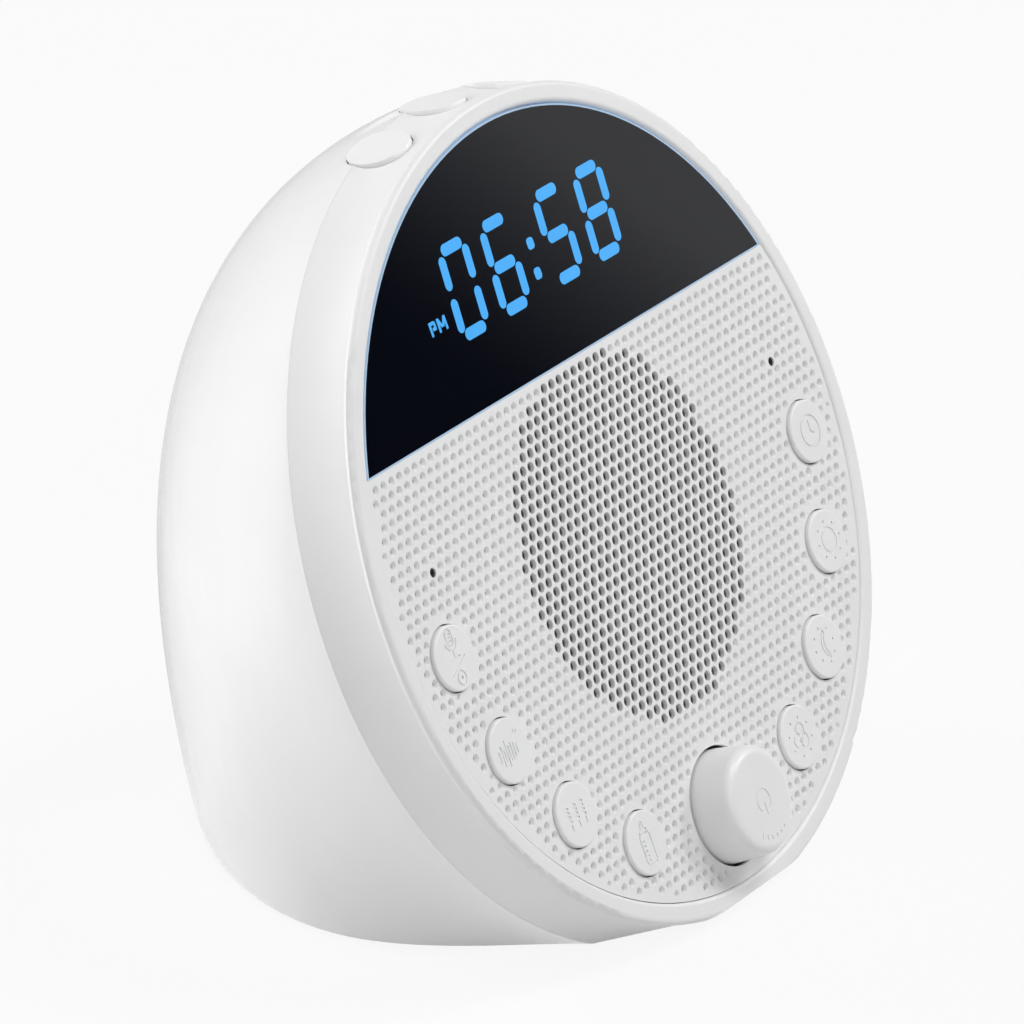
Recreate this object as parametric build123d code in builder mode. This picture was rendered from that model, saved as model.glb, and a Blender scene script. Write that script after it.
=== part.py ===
"""White noise sound machine with a clock, a round tilted face and a glossy rear shell.

Units are millimetres. +Z is up, the face looks towards -Y, and the origin is the centre of the
underside of the rubber base pad. Most pieces are placed by the face plane, which is the front
surface of the grille: x to the right, y up the face, and heights below zero are inside.
"""
from build123d import *
import math
import os

os.makedirs("parts", exist_ok=True)

# ---------------------------------------------------------------- driving dimensions
TILT = 22.7                 # the face leans back by this many degrees
FACE_Y = -24.0              # centre of the face in the part's frame
FACE_Z = 60.6

BEZEL_RADIUS = 65.0         # outer edge of the round front
BEZEL_LIP = 0.4             # the bezel stands this far in front of the grille
BEZEL_INNER = 61.7
BEZEL_ROUND = 0.9
BEZEL_SHOULDER = 0.7        # rounding of the bezel on the side of the grille
BEZEL_UNDERCUT = 0.3        # the band behind the bezel starts this far inside its edge
PARTING_RADIUS = 66.6       # where the front housing meets the rear shell
PARTING_DEPTH = 10.3
SEAM = 0.05                 # open line between housing and shell
HOUSING_BORE = 62.2         # inside of the front housing behind its ledge
LEDGE_RADIUS = 58.6
LEDGE_BACK = -4.4
LIP_OUTER = 63.7            # tongue of the housing that reaches into the shell
LIP_DEPTH = 2.0
SHELL_WALL = 2.2
WALL_BOTTOM = 1.0           # the walls stop just above the table
RISE_FROM = -5.0            # in front of this line the walls rise a little towards the front
RISE_ANGLE = 1.3
PAD_THICKNESS = 1.6
PLATE_THICKNESS = 2.5

DISC_RADIUS = 61.6
DISC_THICKNESS = 2.5
HOLE_DEPTH = 1.1            # the grille is this thin where the open holes are
POCKET_RADIUS = 29.5        # the recess behind them, about the same centre
POCKET_TOP = 22.2
DISC_TOP = 22.9             # the grille stops at this height on the face
WINDOW_RADIUS = 61.1
WINDOW_BOTTOM = 23.2
LINE_WIDTH = 0.25           # light line round the window
HOLE_PITCH = 2.15           # hexagonal pattern of the grille
HOLE_RADIUS = 0.86
FIRST_ROW = 21.1            # height of the top row of holes
OPEN_CENTRE = -5.4          # the open holes fill a circle about this height
OPEN_RADIUS = 28.55

BUTTON_CIRCLE = 52.7        # the face buttons stand on this circle
BUTTON_RADIUS = 5.0
BUTTON_PROUD = 0.75
BUTTON_GAP = 0.22           # between a button and its hole
BUTTON_TRAVEL = 0.5
BUTTON_STEPS = (82.65, 63.65, 44.7, 25.95)      # degrees from the bottom of the face
LEFT_BUTTONS = ("button_record", "button_sounds", "button_nature", "button_lullaby")
RIGHT_BUTTONS = ("button_timer", "button_brightness", "button_night", "button_colour")
FLANGE_RADIUS = 5.9

KNOB_Y = -50.0
KNOB_HOLE = 9.4
KNOB_BASE_RADIUS = 8.9
KNOB_TOP_RADIUS = 8.5
KNOB_HEIGHT = 6.9
KNOB_ROUND = 1.7
SHAFT_RADIUS = 3.0
RUNNING_GAP = 0.05
MICROPHONES = ((-49.6, 5.9), (49.6, 5.9))
MICROPHONE_HOLE = 0.75

TOP_BUTTON_STEP = 14.4      # degrees between the top buttons
TOP_BUTTONS = ("top_button_left", "top_button_middle", "top_button_right")
TOP_BUTTON_DEPTH = 8.4

DIGITS = "0658"
DIGIT_CENTRES = (-19.3, -7.5, 7.8, 19.4)
DIGIT_MIDDLE = 40.8
DIGIT_ARM = 6.5             # from the middle bar to the top and bottom bars
DIGIT_HALF_WIDTH = 3.3
DIGIT_SLANT = 0.09
BAR_WIDTH = 1.8
BAR_LENGTH = 5.6
COLON = ((0.35, 41.6), (-0.35, 37.0))
PM_CENTRE = (-28.3, 37.75)
PM_HEIGHT = 2.15
PM_STROKE = 0.5

BOARD = 1.6                 # thickness of the circuit boards
BOARD_FRONT = -9.0          # the boards behind the face stand here
SCREW_RADIUS = 1.0
SCREW_HEAD = 1.9
SCREW_HEAD_HEIGHT = 1.3
PILOT_RADIUS = 1.05
POST_RADIUS = 2.3

# ---------------------------------------------------------------- the face and its helpers
lean = math.radians(TILT)
face = Plane(origin=(0, FACE_Y, FACE_Z), x_dir=(1, 0, 0), z_dir=(0, -math.cos(lean), math.sin(lean)))


def polar(radius, angle, centre=(0.0, 0.0)):
    """Point on the face at this radius and angle from the centre."""
    turn_by = math.radians(angle)
    return (centre[0] + radius * math.cos(turn_by), centre[1] + radius * math.sin(turn_by))


def turn(points, centre=(0.0, 0.0), mode=Mode.ADD):
    """Turn an outline of (radius, height) points about a line square to the face."""
    hub = face.from_local_coords((centre[0], centre[1], 0))
    with BuildSketch(Plane(origin=hub, x_dir=face.x_dir, z_dir=-face.y_dir)) as outline:
        with BuildLine():
            Polyline(*points, close=True)
        make_face()
    revolve(outline.sketch, axis=Axis(hub, face.z_dir), mode=mode)


def drum(centres, radius, low, high, mode=Mode.ADD):
    """Cylinders square to the face, from height low to height high."""
    with BuildSketch(face.offset(low)) as outline:
        with Locations(*centres):
            Circle(radius)
    extrude(outline.sketch, amount=high - low, mode=mode)


def block(x_range, y_range, low, high, mode=Mode.ADD):
    """Rectangular block square to the face, from height low to height high."""
    with BuildSketch(face.offset(low)) as outline:
        with Locations((sum(x_range) / 2, sum(y_range) / 2)):
            Rectangle(x_range[1] - x_range[0], y_range[1] - y_range[0])
    extrude(outline.sketch, amount=high - low, mode=mode)


def radial_plane(angle, radius):
    """Plane that looks out from the centre of the face at this angle, at the top buttons' depth."""
    turn_by = math.radians(angle)
    outward = face.x_dir * math.cos(turn_by) + face.y_dir * math.sin(turn_by)
    x, y = polar(radius, angle)
    return Plane(
        origin=face.from_local_coords((x, y, -TOP_BUTTON_DEPTH)),
        x_dir=-face.z_dir,
        z_dir=outward,
    )


def radial_drum(angle, size, low, high, mode=Mode.ADD):
    """Cylinder that points out from the centre of the face, between two distances from it."""
    with BuildSketch(radial_plane(angle, low)) as outline:
        Circle(size)
    extrude(outline.sketch, amount=high - low, mode=mode)


def radial_block(angle, depth_size, width, low, high):
    """Block that points out from the centre of the face, between two distances from it."""
    with BuildSketch(radial_plane(angle, low)) as outline:
        Rectangle(depth_size, width)
    extrude(outline.sketch, amount=high - low)


def upright(centres, radius, low, high, mode=Mode.ADD):
    """Vertical cylinders between two heights above the table."""
    with BuildSketch(Plane.XY.offset(low)) as outline:
        with Locations(*centres):
            Circle(radius)
    extrude(outline.sketch, amount=high - low, mode=mode)


def slab(x_range, y_range, z_range, mode=Mode.ADD):
    """Box square to the table between three pairs of limits."""
    limits = (x_range, y_range, z_range)
    with Locations(tuple(sum(pair) / 2 for pair in limits)):
        Box(*(pair[1] - pair[0] for pair in limits), mode=mode)


def face_screws(centres, seat, tip):
    """Screws square to the face: each head lies behind its seat, each tip points forwards."""
    drum(centres, SCREW_HEAD, seat - SCREW_HEAD_HEIGHT, seat)
    drum(centres, SCREW_RADIUS, seat - 0.1, tip)


def finish(sub_part, name):
    """Label a finished piece and write it out."""
    sub_part.part.label = name
    export_step(sub_part.part, f"parts/{name}.step")


# ---------------------------------------------------------------- form of the rear shell
# Slices of the shell parallel to the face are ellipses. With t the depth behind the parting line,
# the half width and the top edge fall away as powers of t, and the middle sinks as a cubic.
SHELL_END = 82.5
SHELL_INNER_END = 80.0
SHELL_SLICES = 12
WIDTH_LIMIT, WIDTH_POWER, WIDTH_ROOT = 86.6, 1.454, 1.278
TOP_LIMIT, TOP_POWER, TOP_ROOT, TOP_FALL = 83.4, 1.99, 1.861, 117.8
MIDDLE_SCALE, MIDDLE_TERMS = 73.2, (3.9, -75.6, 22.6)


def shell_width(t):
    """Half width of the slice at depth t."""
    return PARTING_RADIUS * (1 - (t / WIDTH_LIMIT) ** WIDTH_POWER) ** (1 / WIDTH_ROOT)


def shell_top(t):
    """Height on the face of the slice's top edge at depth t."""
    return PARTING_RADIUS - TOP_FALL * (1 - (1 - (t / TOP_LIMIT) ** TOP_POWER) ** (1 / TOP_ROOT))


def shell_bottom(t):
    """Height on the face of the slice's bottom edge at depth t."""
    s = t / MIDDLE_SCALE
    middle = sum(term * s ** (power + 1) for power, term in enumerate(MIDDLE_TERMS))
    return 2 * middle - shell_top(t)


def shell_slice(t, inset):
    """Half width, half height and middle of the slice at depth t, with the skin moved in by inset."""
    step = 0.01

    def inward(edge):
        slope = (edge(t + step) - edge(t)) / step
        return inset * math.sqrt(1 + slope ** 2)

    width = shell_width(t) - inward(shell_width)
    top = shell_top(t) - inward(shell_top)
    bottom = shell_bottom(t) + inward(shell_bottom)
    return width, (top - bottom) / 2, (top + bottom) / 2


def shell_form(inset, end, mode=Mode.ADD):
    """Loft the shell's outside, or an inner skin of it, back from the seam."""
    slices = []
    for k in range(SHELL_SLICES + 1):
        t = end * (1 - (1 - k / SHELL_SLICES) ** 2)
        width, height, middle = shell_slice(t, inset)
        with BuildSketch(face.offset(-PARTING_DEPTH - SEAM - t)) as outline:
            with Locations((0, middle)):
                Ellipse(width, height)
        slices.append(outline.sketch.face())
    loft(slices, mode=mode)


# ---------------------------------------------------------------- places that several pieces share
button_angles = dict(zip(LEFT_BUTTONS, (-90 - step for step in BUTTON_STEPS)))
button_angles.update(zip(RIGHT_BUTTONS, (-90 + step for step in BUTTON_STEPS)))
button_places = {name: polar(BUTTON_CIRCLE, angle) for name, angle in button_angles.items()}
top_button_angles = dict(zip(TOP_BUTTONS, (90 + TOP_BUTTON_STEP, 90, 90 - TOP_BUTTON_STEP)))

PLATE_TOP = PAD_THICKNESS + PLATE_THICKNESS
FRONT_BOSSES = ((-13.0, -36.5), (13.0, -36.5))
REAR_BOSSES = ((-35.0, 12.0), (35.0, 12.0))
BOSS_RADIUS = 2.9
BOSS_TOP = 9.0
RIB = 2.0
HEAD_RECESS = 1.5

SPEAKER = (0.0, OPEN_CENTRE)
SPEAKER_RADIUS = 27.8
SPEAKER_SEAT = -4.6         # the speaker's flange lies here
SPEAKER_FIXINGS = tuple(polar(32.5, angle, SPEAKER) for angle in (45, 135, 225, 315))
CONTROL_FIXINGS = tuple(polar(BUTTON_CIRCLE, angle) for angle in (-163.2, -125.3, -54.7, -16.8))
DISPLAY_FIXINGS = ((-49.5, 32.5), (49.5, 32.5))
BRACKET_FIXINGS = (polar(58.9, 114.6), polar(58.9, 65.4))
BRACKET_SEAT = -6.0

# ---------------------------------------------------------------- front housing
def trim_walls():
    """Cut the walls off flat above the table, with a slight rise towards the front."""
    rise = math.radians(RISE_ANGLE)
    split(bisect_by=Plane.XY.offset(WALL_BOTTOM), keep=Keep.TOP)
    split(bisect_by=Plane(origin=(0, RISE_FROM, WALL_BOTTOM), z_dir=(0, math.sin(rise), math.cos(rise))),
          keep=Keep.TOP)


with BuildPart() as front_housing:
    hub = face.from_local_coords((0, 0, 0))
    round_start = (BEZEL_RADIUS - BEZEL_ROUND, BEZEL_LIP)
    round_middle = (BEZEL_RADIUS - 0.293 * BEZEL_ROUND, BEZEL_LIP - 0.293 * BEZEL_ROUND)
    round_end = (BEZEL_RADIUS, BEZEL_LIP - BEZEL_ROUND)
    shoulder_start = (BEZEL_INNER + BEZEL_SHOULDER, BEZEL_LIP)
    shoulder_middle = (BEZEL_INNER + 0.293 * BEZEL_SHOULDER, BEZEL_LIP - 0.293 * BEZEL_SHOULDER)
    shoulder_end = (BEZEL_INNER, BEZEL_LIP - BEZEL_SHOULDER)
    cove_start = (BEZEL_RADIUS - BEZEL_UNDERCUT, -1.2)
    cove_middle = (BEZEL_RADIUS - BEZEL_UNDERCUT, (-1.2 - PARTING_DEPTH) / 2)
    cove_end = (PARTING_RADIUS, -PARTING_DEPTH)
    with BuildSketch(Plane(origin=hub, x_dir=face.x_dir, z_dir=-face.y_dir)) as band:
        with BuildLine():
            Polyline(
                shoulder_end,
                (BEZEL_INNER, -DISC_THICKNESS),
                (LEDGE_RADIUS, -DISC_THICKNESS),
                (LEDGE_RADIUS, LEDGE_BACK),
                (HOUSING_BORE, LEDGE_BACK),
                (HOUSING_BORE, -PARTING_DEPTH - LIP_DEPTH),
                (LIP_OUTER, -PARTING_DEPTH - LIP_DEPTH),
                (LIP_OUTER, -PARTING_DEPTH),
                cove_end,
            )
            Bezier(cove_end, cove_middle, cove_start)
            Line(cove_start, round_end)
            ThreePointArc(round_end, round_middle, round_start)
            Line(round_start, shoulder_start)
            ThreePointArc(shoulder_start, shoulder_middle, shoulder_end)
        make_face()
    revolve(band.sketch, axis=Axis(hub, face.z_dir))
    block((-58.0, 58.0), (22.7, 25.2), LEDGE_BACK, -DISC_THICKNESS)
    drum(DISPLAY_FIXINGS, POST_RADIUS, BOARD_FRONT, LEDGE_BACK + 0.5)
    drum([(0, KNOB_Y)], KNOB_HOLE + 0.4, LEDGE_BACK - 1, -DISC_THICKNESS, mode=Mode.SUBTRACT)
    for angle in top_button_angles.values():
        radial_drum(angle, BUTTON_RADIUS + BUTTON_GAP, 56.0, 72.0, mode=Mode.SUBTRACT)
    drum(BRACKET_FIXINGS, POST_RADIUS, BRACKET_SEAT, LEDGE_BACK + 0.5)
    for x, y in FRONT_BOSSES:
        slab((x - RIB / 2, x + RIB / 2), (-43.0, y), (PLATE_TOP, 6.0))
    upright(FRONT_BOSSES, BOSS_RADIUS, PLATE_TOP, BOSS_TOP)
    upright(FRONT_BOSSES, PILOT_RADIUS, PLATE_TOP - 1, BOSS_TOP + 1, mode=Mode.SUBTRACT)
    drum(DISPLAY_FIXINGS, PILOT_RADIUS, BOARD_FRONT - 1, LEDGE_BACK - 0.3, mode=Mode.SUBTRACT)
    drum(BRACKET_FIXINGS, PILOT_RADIUS, BRACKET_SEAT - 1, LEDGE_BACK + 0.9, mode=Mode.SUBTRACT)
    trim_walls()
finish(front_housing, "front_housing")

# ---------------------------------------------------------------- rear shell
INLET_WIDTH = 9.0
INLET_HEIGHT = 3.2
MAIN_BOARD_BOTTOM = PLATE_TOP + 3.0
MAIN_BOARD_TOP = MAIN_BOARD_BOTTOM + BOARD
INLET_Z = MAIN_BOARD_TOP + INLET_HEIGHT / 2
INLET_BACK = 49.6           # the socket's mouth, just inside the rear wall

with BuildPart() as rear_shell:
    shell_form(0.0, SHELL_END)
    shell_form(SHELL_WALL, SHELL_INNER_END, mode=Mode.SUBTRACT)
    trim_walls()
    for angle in top_button_angles.values():
        radial_drum(angle, BUTTON_RADIUS + BUTTON_GAP, 56.0, 72.0, mode=Mode.SUBTRACT)
    for x, y in REAR_BOSSES:
        rib_end = math.copysign(42.5, x)
        slab(sorted((x, rib_end)), (y - RIB / 2, y + RIB / 2), (PLATE_TOP, BOSS_TOP))
    upright(REAR_BOSSES, BOSS_RADIUS, PLATE_TOP, BOSS_TOP)
    upright(REAR_BOSSES, PILOT_RADIUS, PLATE_TOP - 1, BOSS_TOP + 1, mode=Mode.SUBTRACT)
    with BuildSketch(Plane.XZ.offset(-60.0)) as inlet_mouth:
        with Locations((0, INLET_Z)):
            SlotOverall(INLET_WIDTH + 0.8, INLET_HEIGHT + 0.8)
    extrude(inlet_mouth.sketch, amount=20.0, mode=Mode.SUBTRACT)
finish(rear_shell, "rear_shell")

# ---------------------------------------------------------------- base
MAIN_FIXINGS = ((-23.0, -14.0), (23.0, -14.0), (-23.0, 26.0), (23.0, 26.0))


def base_form(front_gap, side_gap, low, high):
    """Flat piece that fills the bottom of both housings with a gap to their walls."""
    shell_form(SHELL_WALL + side_gap, SHELL_INNER_END)
    bottom_radius = HOUSING_BORE - side_gap
    turn([(bottom_radius, 0), (80, 0), (80, -12.9), (bottom_radius, -12.9)], mode=Mode.SUBTRACT)
    turn([(0, front_gap), (bottom_radius, front_gap), (bottom_radius, -12.9), (0, -12.9)])
    split(bisect_by=Plane.XY.offset(low), keep=Keep.TOP)
    split(bisect_by=Plane.XY.offset(high), keep=Keep.BOTTOM)


with BuildPart() as base_plate:
    base_form(LEDGE_BACK - 0.4, 0.3, PAD_THICKNESS, PLATE_TOP)
    upright(MAIN_FIXINGS, POST_RADIUS, PLATE_TOP - 0.1, MAIN_BOARD_BOTTOM)
    upright(MAIN_FIXINGS, PILOT_RADIUS, PAD_THICKNESS + 1, MAIN_BOARD_BOTTOM + 1, mode=Mode.SUBTRACT)
    upright(FRONT_BOSSES + REAR_BOSSES, PILOT_RADIUS + 0.15, 0, PLATE_TOP + 1, mode=Mode.SUBTRACT)
    upright(FRONT_BOSSES + REAR_BOSSES, SCREW_HEAD + 0.2, 0, PAD_THICKNESS + HEAD_RECESS,
            mode=Mode.SUBTRACT)
finish(base_plate, "base_plate")

with BuildPart() as base_pad:
    base_form(LEDGE_BACK - 0.9, 1.2, 0.0, PAD_THICKNESS)
finish(base_pad, "base_pad")

with BuildPart() as base_screws:
    seat = PAD_THICKNESS + HEAD_RECESS
    upright(FRONT_BOSSES + REAR_BOSSES, SCREW_HEAD, seat - SCREW_HEAD_HEIGHT, seat)
    upright(FRONT_BOSSES + REAR_BOSSES, SCREW_RADIUS, seat - 0.1, BOSS_TOP - 0.5)
finish(base_screws, "base_screws")

# ---------------------------------------------------------------- grille disc and speaker
ROW_STEP = HOLE_PITCH * math.sqrt(3) / 2


def open_holes():
    """Centres of the open holes: a hexagonal pattern inside a circle, below the display."""
    places = []
    for row in range(60):
        y = FIRST_ROW - row * ROW_STEP
        start = 0.0 if row % 2 == 0 else HOLE_PITCH / 2
        for column in range(-20, 20):
            x = start + column * HOLE_PITCH
            if math.hypot(x, y - OPEN_CENTRE) <= OPEN_RADIUS:
                places.append((x, y))
    return places


with BuildPart() as grille_disc:
    with BuildSketch(face.offset(-DISC_THICKNESS)) as outline:
        Circle(DISC_RADIUS)
        with Locations((0, DISC_TOP + DISC_RADIUS)):
            Rectangle(2 * DISC_RADIUS, 2 * DISC_RADIUS, mode=Mode.SUBTRACT)
        with Locations(*button_places.values()):
            Circle(BUTTON_RADIUS + BUTTON_GAP, mode=Mode.SUBTRACT)
        with Locations((0, KNOB_Y)):
            Circle(KNOB_HOLE, mode=Mode.SUBTRACT)
        with Locations(*MICROPHONES):
            Circle(MICROPHONE_HOLE, mode=Mode.SUBTRACT)
        with Locations(*open_holes()):
            Circle(HOLE_RADIUS, mode=Mode.SUBTRACT)
    extrude(outline.sketch, amount=DISC_THICKNESS)
    with BuildSketch(face.offset(-DISC_THICKNESS - 1)) as pocket:
        with Locations(SPEAKER):
            Circle(POCKET_RADIUS)
        with Locations((0, POCKET_TOP + 20)):
            Rectangle(80, 40, mode=Mode.SUBTRACT)
    extrude(pocket.sketch, amount=DISC_THICKNESS + 1 - HOLE_DEPTH, mode=Mode.SUBTRACT)
    drum(SPEAKER_FIXINGS, POST_RADIUS, SPEAKER_SEAT, -DISC_THICKNESS + 0.1)
    drum(CONTROL_FIXINGS, POST_RADIUS, BOARD_FRONT, -DISC_THICKNESS + 0.1)
    drum(SPEAKER_FIXINGS, PILOT_RADIUS, SPEAKER_SEAT - 1, -1.2, mode=Mode.SUBTRACT)
    drum(CONTROL_FIXINGS, PILOT_RADIUS, BOARD_FRONT - 1, -3.5, mode=Mode.SUBTRACT)
finish(grille_disc, "grille_disc")

CLOTH_BACK = -HOLE_DEPTH - 0.3
with BuildPart() as grille_cloth:
    with BuildSketch(face.offset(CLOTH_BACK)) as outline:
        with Locations(SPEAKER):
            Circle(POCKET_RADIUS - 0.2)
        with Locations((0, POCKET_TOP - 0.2 + 20)):
            Rectangle(80, 40, mode=Mode.SUBTRACT)
    extrude(outline.sketch, amount=0.3)
finish(grille_cloth, "grille_cloth")

with BuildPart() as speaker_gasket:
    turn([(25.2, CLOTH_BACK), (SPEAKER_RADIUS, CLOTH_BACK), (SPEAKER_RADIUS, SPEAKER_SEAT),
          (25.2, SPEAKER_SEAT)], SPEAKER)
finish(speaker_gasket, "speaker_gasket")

FLANGE_BACK = SPEAKER_SEAT - 1.2
BASKET_BACK = -16.2
MAGNET_BACK = -25.0
with BuildPart() as speaker_frame:
    turn([(25.2, SPEAKER_SEAT), (SPEAKER_RADIUS, SPEAKER_SEAT), (SPEAKER_RADIUS, FLANGE_BACK),
          (26.6, FLANGE_BACK), (24.8, -9.0), (15.5, BASKET_BACK + 1.2), (15.5, BASKET_BACK),
          (8.2, BASKET_BACK), (8.2, BASKET_BACK + 1.0), (14.8, BASKET_BACK + 1.0), (23.4, -8.6)],
         SPEAKER)
    for angle in (0, 90, 180, 270):
        with BuildSketch(face.offset(-20.0)) as window_cut:
            with Locations(polar(19.6, angle, SPEAKER)):
                Circle(4.6)
        extrude(window_cut.sketch, amount=14.0, mode=Mode.SUBTRACT)
    for angle in (45, 135, 225, 315):
        with BuildSketch(face.offset(FLANGE_BACK)) as ear:
            with Locations(Location(polar(30.0, angle, SPEAKER), angle)):
                SlotOverall(9.6, 4.8)
        extrude(ear.sketch, amount=SPEAKER_SEAT - FLANGE_BACK)
    turn([(0, 0), (25.2, 0), (25.2, -5.7), (24.0, -5.7), (23.4, -8.6), (0, -8.6)], SPEAKER,
         mode=Mode.SUBTRACT)
    drum(SPEAKER_FIXINGS, SCREW_RADIUS + 0.2, FLANGE_BACK - 1, SPEAKER_SEAT + 1, mode=Mode.SUBTRACT)
finish(speaker_frame, "speaker_frame")

COIL_RADIUS = 7.1           # middle of the voice coil tube, which runs in the magnet's gap
with BuildPart() as speaker_magnet:
    turn([(0, BASKET_BACK), (6.4, BASKET_BACK), (6.4, -22.6), (8.2, -22.6), (8.2, BASKET_BACK),
          (14.0, BASKET_BACK), (14.0, -18.0), (15.5, -18.0), (15.5, -23.6), (14.0, -23.6),
          (14.0, MAGNET_BACK), (0, MAGNET_BACK)], SPEAKER)
finish(speaker_magnet, "speaker_magnet")

with BuildPart() as speaker_cone:
    turn([(0, -9.2), (3.6, -9.5), (6.0, -10.3), (7.2, -11.2), (21.6, -5.6), (21.6, -6.1),
          (7.5, -11.6), (7.4, -21.0), (6.8, -21.0), (6.8, -11.3), (5.8, -10.7), (3.5, -9.9),
          (0, -9.6)], SPEAKER)
finish(speaker_cone, "speaker_cone")

with BuildPart() as speaker_surround:
    turn([(22.0, -5.6), (22.4, -4.9), (23.1, -4.6), (23.8, -4.9), (24.2, -5.3), (25.1, -5.3),
          (25.1, -5.7), (24.1, -5.7), (23.6, -5.3), (23.1, -5.1), (22.6, -5.3), (22.0, -6.1)],
         SPEAKER)
finish(speaker_surround, "speaker_surround")

with BuildPart() as speaker_spider:
    plate_front = BASKET_BACK + 1.0
    turn([(7.8, -13.6), (14.6, -13.6), (14.6, plate_front), (14.0, plate_front), (14.0, -13.9),
          (7.8, -13.9)], SPEAKER)
finish(speaker_spider, "speaker_spider")

with BuildPart() as speaker_screws:
    face_screws(SPEAKER_FIXINGS, FLANGE_BACK, -1.6)
finish(speaker_screws, "speaker_screws")

# ---------------------------------------------------------------- display
SEGMENTS = {                # bars of each figure, clockwise from the top with the middle bar last
    "0": "abcdef",
    "5": "acdfg",
    "6": "acdefg",
    "8": "abcdefg",
}
BAR_PLACES = {
    "a": (0, 1), "b": (1, 0.5), "c": (1, -0.5), "d": (0, -1),
    "e": (-1, -0.5), "f": (-1, 0.5), "g": (0, 0),
}
UPRIGHT_LENGTH = 5.2


def figure_bars(grow):
    """Draw the lit bars, the colon and the PM sign in the open sketch, each grown by grow."""
    tilt = math.degrees(math.atan(DIGIT_SLANT))
    for centre, digit in zip(DIGIT_CENTRES, DIGITS):
        for bar in SEGMENTS[digit]:
            side, level = BAR_PLACES[bar]
            rise = level * DIGIT_ARM
            x = centre + side * DIGIT_HALF_WIDTH + rise * DIGIT_SLANT
            length, angle = (BAR_LENGTH, 0) if side == 0 else (UPRIGHT_LENGTH, 90 - tilt)
            with Locations(Location((x, DIGIT_MIDDLE + rise), angle)):
                SlotOverall(length + 2 * grow, BAR_WIDTH + 2 * grow)
    with Locations(*COLON):
        RectangleRounded(BAR_WIDTH + 2 * grow, BAR_WIDTH + 2 * grow, 0.6)
    x, y = PM_CENTRE
    stroke = PM_STROKE + 2 * grow
    tall = PM_HEIGHT + 2 * grow
    half = (PM_HEIGHT - PM_STROKE) / 2
    with Locations((x - 1.95, y), (x + 0.2, y), (x + 2.05, y)):
        Rectangle(stroke, tall)
    with Locations((x - 1.4, y + half)):
        Rectangle(1.3 + 2 * grow, stroke)
    with Locations((x - 1.0, y - 0.1)):
        Rectangle(0.95 + 2 * grow, stroke)
    with Locations((x - 0.75, y + half / 2 + 0.05)):
        Rectangle(stroke, 0.95 + 2 * grow)
    for side in (-1, 1):
        with Locations(Location((x + 1.125 + side * 0.46, y + 0.25), side * 62)):
            Rectangle(1.5 + 2 * grow, stroke)


def window_outline(radius, bottom, mode=Mode.ADD):
    """Segment of a circle above a straight bottom edge."""
    with BuildSketch(mode=Mode.PRIVATE) as segment:
        Circle(radius)
        with Locations((0, bottom - radius)):
            Rectangle(2 * radius, 2 * radius, mode=Mode.SUBTRACT)
    add(segment.sketch, mode=mode)


with BuildPart() as display_window:
    with BuildSketch(face.offset(-DISC_THICKNESS)) as outline:
        window_outline(WINDOW_RADIUS, WINDOW_BOTTOM)
    extrude(outline.sketch, amount=DISC_THICKNESS)
    with BuildSketch(face.offset(-DISC_THICKNESS - 1)) as openings:
        figure_bars(0.04)
    extrude(openings.sketch, amount=DISC_THICKNESS + 2, mode=Mode.SUBTRACT)
finish(display_window, "display_window")

with BuildPart() as light_line:
    with BuildSketch(face.offset(-DISC_THICKNESS)) as outline:
        window_outline(WINDOW_RADIUS + LINE_WIDTH, WINDOW_BOTTOM - LINE_WIDTH)
        window_outline(WINDOW_RADIUS, WINDOW_BOTTOM, mode=Mode.SUBTRACT)
    extrude(outline.sketch, amount=DISC_THICKNESS)
finish(light_line, "light_line")

GUIDE_BACK = -DISC_THICKNESS - 0.7
DISPLAY_BOARD_FRONT = BOARD_FRONT
LED_X = (-31.5, 25.5)
LED_Y = (32.4, 49.0)
with BuildPart() as light_guide:
    with BuildSketch(face.offset(-DISC_THICKNESS - 0.1)) as outline:
        figure_bars(0)
    extrude(outline.sketch, amount=DISC_THICKNESS + 0.1)
    block(LED_X, LED_Y, GUIDE_BACK, -DISC_THICKNESS)
finish(light_guide, "light_guide")

with BuildPart() as led_block:
    block(LED_X, LED_Y, DISPLAY_BOARD_FRONT, GUIDE_BACK)
finish(led_block, "led_block")

with BuildPart() as display_board:
    with BuildSketch(face.offset(DISPLAY_BOARD_FRONT - BOARD)) as outline:
        Circle(60.4)
        with Locations((0, 27.5 - 60.4)):
            Rectangle(130, 120.8, mode=Mode.SUBTRACT)
        with Locations((0, 49.6 + 10)):
            Rectangle(130, 20, mode=Mode.SUBTRACT)
        with Locations(*DISPLAY_FIXINGS):
            Circle(SCREW_RADIUS + 0.2, mode=Mode.SUBTRACT)
    extrude(outline.sketch, amount=BOARD)
finish(display_board, "display_board")

with BuildPart() as display_screws:
    face_screws(DISPLAY_FIXINGS, DISPLAY_BOARD_FRONT - BOARD, -5.2)
finish(display_screws, "display_screws")

# ---------------------------------------------------------------- face buttons
STEM_RADIUS = 1.8
SWITCH_SIZE = 4.5
SWITCH_BODY = 1.6
SWITCH_PLUNGER = 0.4
STEM_END = BOARD_FRONT + SWITCH_BODY + SWITCH_PLUNGER + BUTTON_TRAVEL + 0.1
CAP_ROUND = 0.3

for name, place in button_places.items():
    with BuildPart() as face_button:
        drum([place], BUTTON_RADIUS, -DISC_THICKNESS - 0.3, BUTTON_PROUD)
        fillet(face_button.edges().filter_by(GeomType.CIRCLE).sort_by(Axis(face.origin, face.z_dir))[-1],
               CAP_ROUND)
        drum([place], FLANGE_RADIUS, -DISC_THICKNESS - 1.3, -DISC_THICKNESS - 0.3)
        drum([place], STEM_RADIUS, STEM_END, -DISC_THICKNESS - 1.3)
    finish(face_button, name)

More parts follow.
